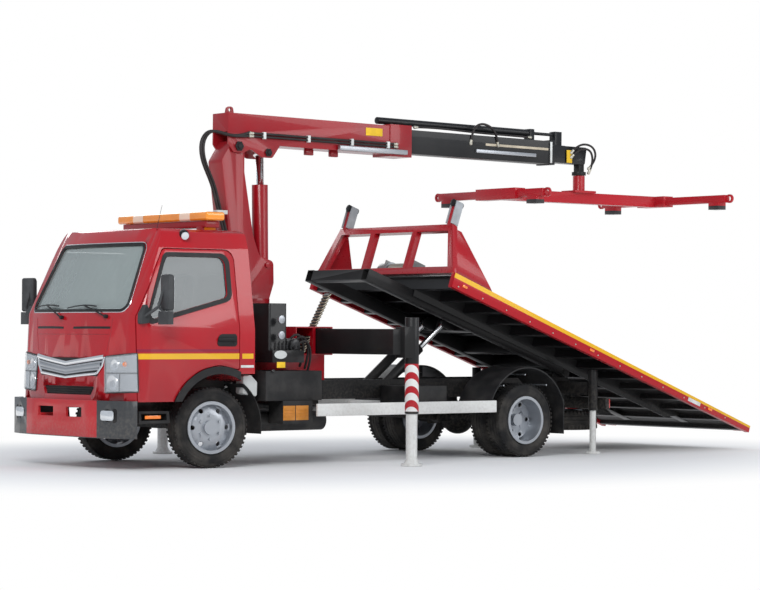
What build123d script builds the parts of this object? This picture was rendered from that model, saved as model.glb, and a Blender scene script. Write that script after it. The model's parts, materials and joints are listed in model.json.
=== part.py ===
"""Cab-over recovery truck with a sliding, tilting bed and a loader crane.

Working frame, in millimetres: X runs from the front axle towards the tail, Y towards the
truck's right-hand side and Z up from the ground. The pieces are shifted once, when they are
written, so that the origin lies on the ground below the middle of the whole machine.
Side = -1 is the left-hand side of the truck and side = +1 the right-hand side.
"""
from build123d import *
from math import atan2, cos, degrees, radians, sin, sqrt
import os

os.makedirs("parts", exist_ok=True)

# ---------------------------------------------------------------- driving dimensions
# Wheels and axles
wheelbase = 3850
tyre_radius = 380
tyre_width = 215
tyre_crown = 14
rim_radius = 235
rim_flange = 12
front_wheel_y = 832
kingpin_y = 640
steer_rest = -10
twin_spacing = 245
rear_wheel_y = 832
hub_radius = 82
stud_count = 6
stud_circle = 110
stud_radius = 14

# Chassis
rail_half_gap = 355
rail_width = 70
rail_top = 800
rail_height = 190
rail_wall = 9
rail_drop = 90
rail_front_x = -890
rail_nose_z = 550
rear_overhang = 1210
rail_rear_x = wheelbase + rear_overhang
engine_half = 300

# Cab
cab_half = 985
cab_rear_x = 410
cab_nose_x = -1062
cab_lip_z = 630
cab_belt_z = 1440
belt_nose_x = -1030
screen_top_x = -709
screen_top_z = 2086
cab_roof_z = 2235
cab_wall = 45
cab_floor_z = 950
tunnel_half = 445
corner_x = -760
corner_y = 815
arch_radius = 500
flare_width = 72
cab_back_z = 880
shoulder_z = 1300
gutter_y = 868
gutter_z = 2060
panel_gap = 8
intake_depth = 32
glass_thickness = 6
glass_inset = 14
screen_foot_y = 795
screen_head_y = 690
cab_pivot_x = -930
cab_pivot_z = 660

# Doors
door_front_x = -905
door_rear_x = 235
door_sill_z = 560
door_head_z = 2050
door_head_x = -585
door_hinge_y = 952
dash_half = 755

# Crane
slew_x = 1070
pedestal_radius = 240
pedestal_top = 1545
housing_half = 520
housing_bottom = 1050
housing_top = 1330
housing_wall = 14
beam_width = 190
beam_gap = 16
outrigger_reach = 1700
outrigger_stroke = 450
leg_radius = 55
leg_wall = 12
leg_top = 1420
leg_sleeve_bottom = 500
leg_stroke = 425
foot_radius = 105
boom_pivot_x = 840
boom_pivot_z = 3099
boom_slope = 0.4
boom_half = 130
boom_low = 30
boom_high = 325
boom_wall = 16
boom_root = -125
boom_length = 2200
inner_half = 105
inner_height = 246
inner_reach = 4310
inner_stroke = 1760
inner_clear = 140
tip_half = 80
tip_height = 190
tip_lead = 190
tip_reach = inner_reach + tip_lead
tip_stroke = 1600
tip_overlap = 550
pad_thickness = 8
seat_gap = 0.3
cylinder_foot_x = 1215
cylinder_foot_z = 1938
cylinder_head_x = 1200
cylinder_head_z = 3055
lift_barrel_radius = 80
lift_rod_radius = 40
lift_barrel_length = 800
lift_rod_length = 900
pin_radius = 28
boom_pin_radius = 40
pin_clearance = 0.5
bore_clearance = 0.6
nose_lead = 480.12
link_pin_rise = 124
link_drop = 168

# Spreader frame
spreader_z = 2768
spreader_front_run = 1180
spreader_rear_run = 1210
spreader_beam_width = 120
spreader_beam_height = 120
arm_width = 80
arm_height = 84

# Bed
bed_tilt = 19.4
bed_length = 4670
bed_half = 1150
bed_rail_front = 150
bed_rail_tail = 75
bed_rail_width = 60
deck_plate = 10
deck_inset = 28
rib_count = 14
rib_width = 50
head_height = 680
head_top_half = 900
head_tube = 70
tilt_pivot_x = wheelbase + 1100
tilt_pivot_z = 858
pivot_run = 2371
pivot_below_bed = 95
tilt_frame_half = 500
tilt_beam_width = 100
tilt_beam_height = 120
tilt_frame_lead = 560
tilt_cylinder_y = 150
tilt_foot_x = wheelbase - 1200
tilt_foot_z = 700
tilt_head_run = 840
tilt_head_drop = 90
tilt_barrel_radius = 50
tilt_rod_radius = 28
tilt_rod_length = 640

# Rear stabiliser legs
rear_leg_x = tilt_pivot_x
rear_leg_y = 920
rear_sleeve_top = 890
rear_sleeve_bottom = 460
rear_leg_radius = 34
rear_leg_stroke = 300

# Side equipment
guard_y = 1100
guard_front_x = 1070
guard_rear_x = wheelbase - 460
guard_z = 530
guard_height = 120
guard_thickness = 30
fender_radius = 546
fender_thickness = 14


# ---------------------------------------------------------------- shape helpers
def block(x0, x1, y0, y1, z0, z1):
    """Box between two opposite corners."""
    middle = ((x0 + x1) / 2, (y0 + y1) / 2, (z0 + z1) / 2)
    return Pos(*middle) * Box(abs(x1 - x0), abs(y1 - y0), abs(z1 - z0))


def rod_y(x, z, y0, y1, radius):
    """Cylinder along Y."""
    return Pos(x, (y0 + y1) / 2, z) * Rot(90, 0, 0) * Cylinder(radius, abs(y1 - y0))


def rod_x(y, z, x0, x1, radius):
    """Cylinder along X."""
    return Pos((x0 + x1) / 2, y, z) * Rot(0, 90, 0) * Cylinder(radius, abs(x1 - x0))


def rod_z(x, y, z0, z1, radius):
    """Cylinder along Z."""
    return Pos(x, y, (z0 + z1) / 2) * Cylinder(radius, abs(z1 - z0))


def bar(start, end, radius):
    """Round bar between two points."""
    a, b = Vector(*start), Vector(*end)
    return Solid.extrude(Face(Wire.make_circle(radius, Plane(a, z_dir=b - a))), b - a)


def outline(points, radii, plane):
    """Closed face on a plane through flat points, with one corner radius for all or one each."""
    line = FilletPolyline(*points, radius=radii, close=True)
    return plane * make_face(line)


def slab_xz(points, y0, y1, radii=0):
    """Profile drawn in X and Z, as thick as from y0 to y1."""
    low, high = min(y0, y1), max(y0, y1)
    face = outline(points, radii, Plane((0, low, 0), x_dir=(1, 0, 0), z_dir=(0, -1, 0)))
    return extrude(face, amount=high - low, dir=(0, 1, 0))


def slab_yz(points, x0, x1, radii=0):
    """Profile drawn in Y and Z, as long as from x0 to x1."""
    face = outline(points, radii, Plane((x0, 0, 0), x_dir=(0, 1, 0), z_dir=(1, 0, 0)))
    return extrude(face, amount=x1 - x0, dir=(1, 0, 0))


def slab_xy(points, z0, z1, radii=0):
    """Profile drawn in X and Y, as high as from z0 to z1."""
    return extrude(outline(points, radii, Plane((0, 0, z0))), amount=z1 - z0, dir=(0, 0, 1))


def tube_box(x0, x1, y0, y1, z0, z1, wall, along):
    """Rectangular tube, open at both ends of the named axis."""
    over = 1
    inner = [x0 + wall, x1 - wall, y0 + wall, y1 - wall, z0 + wall, z1 - wall]
    first = "XYZ".index(along) * 2
    inner[first] = (x0, y0, z0)[first // 2] - over
    inner[first + 1] = (x1, y1, z1)[first // 2] + over
    return block(x0, x1, y0, y1, z0, z1) - block(*inner)


def fuse(*shapes):
    """One shape of several."""
    result = shapes[0]
    for shape in shapes[1:]:
        result = result + shape
    return result


def eye(x, z, y0, y1, radius, hole):
    """Bored boss along Y."""
    return rod_y(x, z, y0, y1, radius) - rod_y(x, z, y0 - 1, y1 + 1, hole)


nodes = {}


def keep(name, *shapes):
    """Give a node one or more solids."""
    nodes[name] = [solid for shape in shapes for solid in shape.solids()]


# ---------------------------------------------------------------- wheels
def tyre(y_in, y_out):
    """Tyre of revolution about Y through the origin, between two sidewalls."""
    bead = rim_radius + rim_flange
    shoulder = tyre_radius - tyre_crown
    points = [(y_in, bead), (y_in, shoulder), (y_in + 30, tyre_radius), (y_out - 30, tyre_radius),
              (y_out, shoulder), (y_out, bead)]
    face = outline(points, (8, 22, 22, 22, 22, 8), Plane((0, 0, 0), x_dir=(0, 1, 0), z_dir=(1, 0, 0)))
    return revolve(face, Axis.Y, 360)


def rim(y_in, y_out, disc_y, dish):
    """Wheel rim with its disc: the barrel, two flanges and a dished disc with holes."""
    flange = rim_radius + rim_flange - 1
    profile = [(y_in + 4, flange), (y_out - 4, flange), (y_out - 4, rim_radius - 18),
               (y_out - 30, rim_radius - 24), (y_in + 30, rim_radius - 24), (y_in + 4, rim_radius - 18)]
    plane = Plane((0, 0, 0), x_dir=(0, 1, 0), z_dir=(1, 0, 0))
    barrel = revolve(outline(profile, 0, plane), Axis.Y, 360)
    disc_points = [(disc_y - 6, hub_radius - 14), (disc_y + 6, hub_radius - 14), (disc_y + 6, 150),
                   (disc_y + 6 + dish, rim_radius - 20), (disc_y - 6 + dish, rim_radius - 20),
                   (disc_y - 6, 150)]
    disc = revolve(outline(disc_points, 0, plane), Axis.Y, 360)
    for number in range(stud_count):
        angle = radians(360 / stud_count * (number + 0.5))
        hole = rod_y(176 * sin(angle), 176 * cos(angle), -400, 400, 22)
        disc = disc - hole
    return barrel + disc


def studs(y0, y1):
    """Ring of wheel nuts along Y."""
    ring = []
    for number in range(stud_count):
        angle = radians(360 / stud_count * number)
        ring.append(rod_y(stud_circle * sin(angle), stud_circle * cos(angle), y0, y1, stud_radius))
    return ring


def front_wheel(side):
    """Tyre, rim and knuckle of one steered wheel, turned to the steering's rest angle."""
    half = tyre_width / 2
    wheel_at = side * front_wheel_y
    rubber = Pos(0, wheel_at, 0) * tyre(-half, half)
    disc_at = side * 62
    metal = Pos(0, wheel_at, 0) * rim(-half, half, disc_at, -side * 34)
    face = wheel_at + disc_at
    hub = rod_y(0, 0, wheel_at - side * 30, face - side * 6, 92)
    cap = rod_y(0, 0, face - side * 20, face + side * 36, hub_radius - 14)
    nuts = studs(face - side * 8, face + side * 24)
    metal = fuse(metal, hub, cap, *nuts)
    spindle = rod_y(0, 0, side * (kingpin_y - 20), wheel_at - side * 31, 44)
    kingpin = rod_z(0, side * kingpin_y, -115 + seat_gap, 115 - seat_gap, 34)
    knuckle = spindle + kingpin
    turn = Pos(0, side * kingpin_y, tyre_radius) * Rot(0, 0, steer_rest) * Pos(0, -side * kingpin_y, 0)
    return turn * rubber, turn * metal, turn * knuckle


for side, name in ((-1, "left"), (1, "right")):
    rubber, metal, knuckle = front_wheel(side)
    keep("front_tyre_" + name, rubber)
    keep("front_rim_" + name, metal)
    keep("knuckle_" + name, knuckle)

# The twin wheels of one side turn as one body.
for side, name in ((-1, "left"), (1, "right")):
    half = tyre_width / 2
    tyres = []
    rims = []
    place = Pos(wheelbase, side * rear_wheel_y, tyre_radius)
    for twin in (-1, 1):
        middle = side * twin * twin_spacing / 2
        disc_y = middle - side * twin * (half - 12)
        tyres.append(place * Pos(0, middle, 0) * tyre(-half, half))
        rims.append(place * Pos(0, middle, 0) * rim(-half, half, disc_y - middle, side * twin * 12))
    hub_in = -side * 30
    hub_out = side * 40
    hub = place * rod_y(0, 0, hub_in, hub_out, hub_radius + 4)
    cap = place * rod_y(0, 0, hub_out, side * 105, 62)
    nuts = [place * nut for nut in studs(-side * 24, side * 46)]
    keep("rear_tyres_" + name, *tyres)
    keep("rear_rims_" + name, fuse(rims[0], rims[1], hub, cap, *nuts))


# ---------------------------------------------------------------- chassis
def rail(side):
    """One channel rail, lower under the cab."""
    low = rail_top - rail_height
    kick_x0, kick_x1 = 430, 640
    y_out = side * (rail_half_gap + rail_width)
    y_in = side * rail_half_gap
    points = [(rail_front_x, rail_nose_z), (kick_x0, low - rail_drop),
              (kick_x1, low), (rail_rear_x, low), (rail_rear_x, rail_top), (kick_x1, rail_top),
              (kick_x0, rail_top - rail_drop), (rail_front_x, rail_top - rail_drop)]
    body = slab_xz(points, y_in, y_out)
    w = rail_wall
    inset = [(rail_front_x + w, points[0][1] + w), (kick_x0 - 2, low - rail_drop + w),
             (kick_x1 - 2, low + w), (rail_rear_x - w, low + w), (rail_rear_x - w, rail_top - w),
             (kick_x1 + 2, rail_top - w), (kick_x0 + 2, rail_top - rail_drop - w),
             (rail_front_x + w, rail_top - rail_drop - w)]
    return body - slab_xz(inset, y_in - side * 1, y_out - side * w)


rail_low = rail_top - rail_height
rail_out = rail_half_gap + rail_width
web_in = rail_out - rail_wall

frame = rail(-1) + rail(1)
# Crossmembers between the webs: middle in X, half length, bottom and top.
foot_beam_x = tilt_foot_x - 90
crossmembers = ((-820, 30, 590, 690), (700, 40, 640, 770), (1500, 60, 640, 790), (foot_beam_x, 40, 620,
                                                                                  780),
                (wheelbase - 500, 40, 615, 665), (wheelbase + 630, 40, 640, 780),
                (rail_rear_x - 50, 45, 620, 790))
for x, half, low, high in crossmembers:
    frame = frame + block(x - half, x + half, -web_in - 2, web_in + 2, low, high)

# Lugs and shaft of the bed's tilt pivot, on the rails' rear ends.
pivot_shaft_end = tilt_frame_half + 6
for side in (-1, 1):
    lug = slab_xz([(tilt_pivot_x - 110, rail_top - 5), (tilt_pivot_x + 100, rail_top - 5),
                   (tilt_pivot_x + 45, tilt_pivot_z + 42), (tilt_pivot_x - 45, tilt_pivot_z + 42)],
                  side * (rail_half_gap + 3), side * (tilt_frame_half - tilt_beam_width - 5), (0, 0, 30,
                                                                                               30))
    frame = frame + lug
frame = frame + rod_y(tilt_pivot_x, tilt_pivot_z, -pivot_shaft_end, pivot_shaft_end, pin_radius)

# Feet of the two tilt cylinders, on the crossmember in front of them.
eye_half = 28
lug_gap = 3
lug_thick = 14
for side in (-1, 1):
    for cheek in (-1, 1):
        y0 = side * tilt_cylinder_y + cheek * (eye_half + lug_gap)
        lug_view = [(foot_beam_x, 630), (foot_beam_x, 775), (tilt_foot_x + 30, tilt_foot_z + 42),
                    (tilt_foot_x + 42, tilt_foot_z - 30), (tilt_foot_x - 40, 630)]
        frame = frame + slab_xz(lug_view, y0, y0 + cheek * lug_thick)
    pin_half = eye_half + lug_gap + lug_thick + 10
    frame = frame + rod_y(tilt_foot_x, tilt_foot_z, side * tilt_cylinder_y - pin_half,
                          side * tilt_cylinder_y + pin_half, pin_radius)

# Leaf springs, their hangers and the brackets of the side guards.
spring_y = rail_half_gap + 30
for axle_x in (0, wheelbase):
    for side in (-1, 1):
        y0, y1 = side * (spring_y - 32), side * (spring_y + 32)
        leaf = slab_xz([(axle_x - 560, rail_low - 70), (axle_x - 150, tyre_radius + 62),
                        (axle_x + 150, tyre_radius + 62), (axle_x + 560, rail_low - 70),
                        (axle_x + 560, rail_low - 40), (axle_x + 150, tyre_radius + 110),
                        (axle_x - 150, tyre_radius + 110), (axle_x - 560, rail_low - 40)], y0, y1)
        frame = frame + leaf
        for end in (-1, 1):
            x = axle_x + end * 545
            frame = frame + block(x - 25, x + 25, y0, y1, rail_low - 75, rail_low + 8
                                  - (rail_drop if x < 600 else 0))
# The shaft that the cab tilts on is carried by the rails' front ends.
frame = frame + rod_y(cab_pivot_x, cab_pivot_z, -rail_out + 5, rail_out - 5, pin_radius)
for side in (-1, 1):
    frame = frame + block(cab_pivot_x - 35, rail_front_x + 20, side * (rail_half_gap + 5),
                          side * (rail_out - 5), cab_pivot_z - 32, cab_pivot_z + 40)
keep("chassis_frame", frame)

# Front axle: a dropped beam with kingpin yokes, and its steering arms.
axle_y = kingpin_y - 60
spring_seat = tyre_radius + 62 - seat_gap
front_axle = slab_yz([(-axle_y, tyre_radius + 45), (-440, spring_seat), (440, spring_seat),
                      (axle_y, tyre_radius + 45), (axle_y, tyre_radius - 45), (420, tyre_radius - 30),
                      (-420, tyre_radius - 30), (-axle_y, tyre_radius - 45)], -40, 40)
for side in (-1, 1):
    for low, high in ((115, 145), (-145, -115)):
        front_axle = front_axle + block(-38, 38, side * (axle_y - 30), side * (kingpin_y + 36),
                                        tyre_radius + low, tyre_radius + high)
    front_axle = front_axle + block(-38, 38, side * (axle_y - 40), side * (axle_y - 4),
                                    tyre_radius - 145, tyre_radius + 145)
keep("front_axle", front_axle)

# Rear axle: the banjo casing with its tapered tubes and a propeller shaft.
axle_end = rear_wheel_y - twin_spacing / 2 - 130
rear_axle = rod_y(wheelbase, tyre_radius, -axle_end, axle_end, 62)
rear_axle = rear_axle + Pos(wheelbase, 0, tyre_radius) * Sphere(175)
rear_axle = rear_axle + rod_x(0, tyre_radius + 20, wheelbase - 320, wheelbase, 70)
for side in (-1, 1):
    rear_axle = rear_axle + block(wheelbase - 60, wheelbase + 60, side * (spring_y - 38),
                                  side * (spring_y + 38),
                                  tyre_radius - 75, spring_seat)
    rear_axle = rear_axle + rod_y(wheelbase, tyre_radius, side * axle_end, side * (rear_wheel_y - 30
                                                                                   - seat_gap), 48)
propeller = bar((1050, 0, 560), (wheelbase - 320, 0, tyre_radius + 20), 40)
keep("rear_axle", rear_axle + propeller)

# Engine on its two mounts between the rails, and the gearbox below a crossmember.
engine = block(-520, 560, -engine_half, engine_half, 480, 850)
for side in (-1, 1):
    engine = engine + block(-140, -20, side * (engine_half - 10), side * (rail_half_gap - seat_gap), 600,
                            705)
keep("engine_block", engine, block(600, 1040, -190, 190, 450, 640 - seat_gap))

# ---------------------------------------------------------------- front bumper
bumper_front = -1130
bumper_top = 640
bumper_low = 295
bumper_skin = 28
bumper_rear = -925


def bumper_plan(t, z0, z1):
    """Wrap-round plan of the bumper, drawn in by t."""
    points = [(bumper_rear, -cab_half + t), (-1030 + t, -cab_half + 15 + t), (bumper_front + 40 + t, -760),
              (bumper_front + t, -480), (bumper_front + t, 480), (bumper_front + 40 + t, 760),
              (-1030 + t, cab_half - 15 - t), (bumper_rear, cab_half - t)]
    return slab_xy(points, z0, z1, (0, 60, 120, 400, 400, 120, 60, 0))


bumper = bumper_plan(0, bumper_low, bumper_top) - bumper_plan(bumper_skin, bumper_low - 1, bumper_top + 1)
for side in (-1, 1):
    grille_slot = block(bumper_front - 20, bumper_front + 60, side * 110, side * 370, 482, 572)
    lamp_pocket = rod_x(side * 745, 505, bumper_front - 60, bumper_front + 200, 58)
    bumper = bumper - grille_slot - lamp_pocket
    bumper = bumper + block(bumper_front + bumper_skin - 4, rail_front_x + 40, side * (rail_half_gap + 6),
                            side * (rail_out - 10), 470, 505)
    bumper = bumper + block(rail_front_x, rail_front_x + 40, side * (rail_half_gap + 6),
                            side * (rail_out - 10), 500, rail_nose_z - 1.2)
keep("front_bumper", bumper)


# ---------------------------------------------------------------- cab
def cab_plan(t, z, back):
    """Plan of the cab at the belt, drawn in by t, as a face at height z."""
    r = abs(corner_x - (belt_nose_x + 100))
    side_y = cab_half - t
    nose = belt_nose_x + t
    edge_x = belt_nose_x + 100 + t
    mid_x = corner_x - r * sin(radians(45)) + t * 0.7
    mid_y = corner_y + (cab_half - corner_y) * cos(radians(45)) - t * 0.7
    flank = corner_y - t * 0.2
    edges = [Line((back, -side_y), (corner_x, -side_y)),
             ThreePointArc((corner_x, -side_y), (mid_x, -mid_y), (edge_x, -flank)),
             ThreePointArc((edge_x, -flank), (nose, 0), (edge_x, flank)),
             ThreePointArc((edge_x, flank), (mid_x, mid_y), (corner_x, side_y)),
             Line((corner_x, side_y), (back, side_y)), Line((back, side_y), (back, -side_y))]
    return Pos(0, 0, z) * make_face(edges)


def cab_form(t):
    """Solid of the cab's outside, drawn in by t on every side."""
    back = 3000
    rake = Vector(screen_top_x - belt_nose_x, 0, screen_top_z - cab_belt_z)
    nose_rake = Vector(cab_nose_x - 6 - belt_nose_x, 0, cab_lip_z - 20 - cab_belt_z)
    upper = Solid.extrude(cab_plan(t, cab_belt_z, back).faces()[0], rake * 1.4)
    lower = Solid.extrude(cab_plan(t, cab_belt_z, back).faces()[0], nose_rake)
    form = upper + lower
    # Front view: straight flanks, tumblehome above the shoulder and round gutters.
    g = gutter_y - t
    flank = [(-cab_half - 50, 0), (cab_half + 50, 0), (cab_half + 50, shoulder_z - 80),
             (cab_half - t, shoulder_z), (g, gutter_z), (g - 60, cab_roof_z - t),
             (-g + 60, cab_roof_z - t), (-g, gutter_z), (-cab_half + t, shoulder_z),
             (-cab_half - 50, shoulder_z - 80)]
    form = form & slab_yz(flank, -1500, cab_rear_x - t, (0, 0, 0, 0, 60, 90, 90, 60, 0, 0))
    # Side view: the roof's front and rear edges.
    lead = 10
    side_view = [(cab_rear_x - t, cab_lip_z), (cab_rear_x - t, cab_roof_z - t),
                 (screen_top_x + 74 + t - lead, cab_roof_z - t), (belt_nose_x + t - lead, cab_belt_z),
                 (-1400, cab_belt_z - 400), (-1400, cab_lip_z)]
    return form & slab_xz(side_view, -1100, 1100, (0, 60, 160, 0, 0, 0))


def in_side(points, radii=0):
    """Prisms through both flanks of the cab, from a side-view outline."""
    return slab_xz(points, -1300, 1300, radii)


outer_form = cab_form(0)
cavity = cab_form(cab_wall) & block(-1300, 1300, -1300, 1300, cab_floor_z, 2400)
footwell = cab_form(cab_wall)
footwell = footwell & (block(-1300, -600, tunnel_half + cab_wall, 1300, cab_lip_z + 40, cab_floor_z + 1)
                       + block(-1300, -600, -1300, -tunnel_half - cab_wall, cab_lip_z + 40, cab_floor_z
                               + 1))

# Openings in the shell. The side views are drawn once and used for the hole and for what fills it.
flare_radius = arch_radius + flare_width


def door_side_view(t):
    """Outline of the door, drawn in by t."""
    r = flare_radius + panel_gap + t
    front_low = (-560 - t, tyre_radius + sqrt(r ** 2 - 560 ** 2))
    rear_x = door_rear_x - t
    return [(door_front_x + t, door_sill_z + t), front_low, (-430, tyre_radius + sqrt(r ** 2 - 430 ** 2)),
            (-220, tyre_radius + sqrt(r ** 2 - 220 ** 2)), (0, tyre_radius + r),
            (rear_x, tyre_radius + sqrt(r ** 2 - rear_x ** 2)), (rear_x, door_head_z - t),
            (door_head_x + t, door_head_z - t), (door_front_x + t, cab_belt_z - 20)]


door_radii = (20, 30, 200, 400, 300, 20, 110, 60, 120)
window_view = [(-800, 1375), (120, 1600), (120, 1975), (-545, 1975)]
window_radii = (40, 60, 80, 70)
screen_view = [(-screen_foot_y, cab_belt_z + 25), (screen_foot_y, cab_belt_z + 25),
               (screen_head_y, screen_top_z), (-screen_head_y, screen_top_z)]
rear_view = [(-560, 1520), (560, 1520), (560, 1960), (-560, 1960)]

skin = outer_form - cab_form(cab_wall + panel_gap)
door_hole = skin & in_side(door_side_view(0), door_radii)
door_slab = in_side(door_side_view(panel_gap), door_radii)
window_hole = in_side(window_view, window_radii)
screen_hole = slab_yz(screen_view, -1300, -480, 70)
rear_hole = slab_yz(rear_view, 200, 600, 60)

arch = fuse(rod_y(0, tyre_radius, 430, 1300, arch_radius), rod_y(0, tyre_radius, -1300, -430, arch_radius))
under = block(-985, 900, -tunnel_half, tunnel_half, 0, 900) + block(250, 900, -1300, 1300, 0, cab_back_z)
under = under + block(-600, 900, -1300, 1300, 0, 620)

walls = outer_form - cavity - footwell - arch - under
intake = slab_yz([(-390, 685), (390, 685), (440, 765), (-440, 765)], -1200, -900, 12)
intake = intake & (cab_form(-5) - cab_form(intake_depth))
shell = walls - door_hole - screen_hole - rear_hole - intake
# Reliefs in the floor's front corners, where the lower edges of the doors swing in.
for side in (-1, 1):
    shell = shell - block(door_front_x + 10, door_front_x + 65, side * 880, side * 935,
                          cab_lip_z - 1, cab_lip_z + 41)
# Pivot arms under the front of the floor.
for side in (-1, 1):
    y = side * 240
    shell = shell + slab_xz([(cab_pivot_x - 45, cab_pivot_z - 40), (cab_pivot_x + 45, cab_pivot_z - 40),
                             (cab_pivot_x + 90, 912), (-1005, 912), (-1005, 760)], y - 25, y + 25)
    shell = shell - rod_y(cab_pivot_x, cab_pivot_z, y - 40, y + 40, pin_radius + pin_clearance)
keep("cab_shell", shell)

glass_band = cab_form(glass_inset) - cab_form(glass_inset + glass_thickness)
inset = 0.3
screen_glass = glass_band & slab_yz([(y * (1 - inset / 900), z + (inset if z < 1600 else -inset))
                                     for y, z in screen_view], -1300, -480, 70 - inset)
rear_glass = glass_band & slab_yz([(y * (1 - inset / 900), z + (inset if z < 1700 else -inset))
                                   for y, z in rear_view], 200, 600, 60 - inset)
keep("cab_glass", screen_glass, rear_glass)

door_pair = cab_form(0) - cab_form(cab_wall)
door_pair = (door_pair & door_slab) - window_hole
window_slab = in_side([(-800 + inset, 1375 + inset), (120 - inset, 1600 + inset), (120 - inset, 1975
                                                                                   - inset),
                       (-545 + inset, 1975 - inset)], window_radii)
pane_pair = (glass_band & window_slab) - block(-1300, 1300, -600, 600, 1000, 2300)


def half_of(shape, side):
    """What lies on one side of the truck."""
    return shape & block(-3000, 9000, side * 200, side * 3000, -100, 4000)


for side, name in ((-1, "left"), (1, "right")):
    keep("door_" + name, half_of(door_pair, side))
    keep("door_glass_" + name, half_of(pane_pair, side))
    # Mirror arms stand on the door's front edge, below the window's corner.
    root = (-872, side * 930, 1380)
    knee = (-800, side * 1130, 1500)
    top = (-720, side * 1150, 1790)
    arm = fuse(bar(root, knee, 14), bar(knee, top, 14), Pos(*knee) * Sphere(14), Pos(*root) * Sphere(20))
    head = Pos(-735, side * 1175, 1630) * Rot(0, 0, side * 8) * Box(60, 175, 330)
    low_head = Pos(-750, side * 1175, 1400) * Box(56, 160, 120)
    arm = arm + bar(knee, (-750, side * 1175, 1440), 12)
    keep("mirror_" + name, (fillet(head.edges(), 22) + arm + low_head) - outer_form)

# Wheel-arch flares and the entry steps in front of them.
flare_band = (cab_form(-14) - cab_form(cab_wall)) & block(-1300, 240, -1300, 1300, 0, 1100)
ring = rod_y(0, tyre_radius, -1300, 1300, flare_radius) - rod_y(0, tyre_radius, -1301, 1301, arch_radius
                                                                + 1)
flares = flare_band & ring & block(-560, 240, -1300, 1300, tyre_radius + 170, 1300)
flares = flares - outer_form

steps = []
for side in (-1, 1):
    tread = slab_xz([(-905, 432), (-560, 432), (-572, 545), (-905, 545)], side * 700, side * (cab_half
                                                                                              - 5), 12)
    foot = tread - slab_xz([(-880, 460), (-595, 460), (-600, 520), (-880, 520)], side * 760, side * 1200)
    steps.append(foot + block(-900, -620, side * 700, side * 760, 540, cab_lip_z - seat_gap))
keep("cab_trim", flares, *steps)

# Front panel furniture.
grille = slab_yz([(-455, 880), (0, 852), (455, 880), (560, 1040), (0, 985), (-560, 1040)],
                 -1120, -1000, (18, 200, 18, 18, 200, 18)) & cab_form(-20)
grille = grille - cab_form(0)
keep("grille", grille)

lamps = []
for side in (-1, 1):
    lens = slab_yz([(side * 595, 705), (side * 1000, 720), (side * 1000, 1080), (side * 585, 1045),
                    (side * 565, 890)], -1200, door_front_x - panel_gap, 18)
    lamps.append((lens & cab_form(-8)) - cab_form(0))
keep("headlamps", *lamps)

# Seats stand on the cab floor; the dashboard spans it under the windscreen.
seats = []
for y in (-560, 560, 60):
    base = block(-310, 120, y - 230, y + 230, cab_floor_z + inset, cab_floor_z + 310)
    seat_back = Pos(200, y, cab_floor_z + 560) * Rot(0, 10, 0) * Box(110, 440, 640)
    seats.append(fillet(base.edges(), 30) + fillet(seat_back.edges(), 30)
                 + block(50, 210, y - 180, y + 180, cab_floor_z + 100, cab_floor_z + 300))
dash = block(-1300, -640, -dash_half, dash_half, 1120, 1400) & cab_form(cab_wall + seat_gap)
wheel_at = Pos(-545, -560, 1390) * Rot(0, -40, 0)
column_bar = wheel_at * rod_z(0, 0, -260, 0, 26)
wheel_ring = wheel_at * Torus(200, 15)
spokes = wheel_at * (Box(36, 390, 14) + Box(390, 36, 14) + Cylinder(50, 24))
keep("cab_interior", dash + column_bar + wheel_ring + spokes, *seats)

# Amber light bar on its bracket.
bar_x = 120
bar_feet = fuse(block(bar_x - 60, bar_x + 60, -660, -600, cab_roof_z - 2, 2330),
                block(bar_x - 60, bar_x + 60, 600, 660, cab_roof_z - 2, 2330)) - outer_form
lens_bar = fillet(block(bar_x - 110, bar_x + 110, -750, 750, 2328, 2410).edges(), 24)
keep("light_bar", bar_feet + lens_bar)

# ---------------------------------------------------------------- equipment on the frame
# Left-hand side: battery box with a case and an air tank below it, and a tool box.
box_y = rail_out + seat_gap
case_top = 620 - seat_gap
boxes = [block(560, 1240, -960, -box_y, 620, 905), block(760, 1120, -970, -745, 400, case_top),
         block(2420, 2900, -900, -box_y, 480, 740)]
air_tank = rod_x(-640, 415, 560, 1480, 95)
for x in (640, 1160):
    air_tank = air_tank + block(x - 20, x + 20, -690, -590, 420, case_top)
boxes.append(air_tank)
# Right-hand side: cabinet and fuel tank.
boxes.append(block(560, 1240, box_y, 960, 560, 905))
boxes.append(fillet(block(1500, 2300, box_y, 930, 430, 760).edges().filter_by(Axis.X), 60))
keep("side_boxes", *boxes)

guards = []
for side in (-1, 1):
    rail_bar = block(guard_front_x, guard_rear_x, side * (guard_y - guard_thickness / 2),
                     side * (guard_y + guard_thickness / 2), guard_z - guard_height / 2, guard_z
                     + guard_height / 2)
    guard = rail_bar
    for x in (guard_front_x + 240, guard_rear_x - 120):
        guard = guard + block(x - 20, x + 20, side * (rail_out + 1), side * (guard_y - 10), guard_z - 20,
                              guard_z + 20)
        guard = guard + block(x - 20, x + 20, side * (rail_out + 1), side * (rail_out + 31), guard_z - 20,
                              rail_low + 60)
    guards.append(guard)
keep("side_guards", *guards)

fenders = []
for side in (-1, 1):
    y0, y1 = side * 590, side * 1085
    arc = rod_y(wheelbase, tyre_radius, y0, y1, fender_radius)
    arc = arc - rod_y(wheelbase, tyre_radius, side * 500, side * 1200, fender_radius - fender_thickness)
    arc = arc & block(wheelbase - 600, wheelbase + 600, side * 500, side * 1200, tyre_radius + 150, 1200)
    flap = block(wheelbase + 505, wheelbase + 517, y0, y1, 230, tyre_radius + 210)
    stay = block(wheelbase - 25, wheelbase + 25, side * (rail_out + 0.3), side * 620, 780, 800)
    stay = stay + block(wheelbase - 25, wheelbase + 25, side * 600, side * 620, 780, 915)
    fenders.append(arc + flap + stay)
keep("rear_fenders", *fenders)

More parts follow.
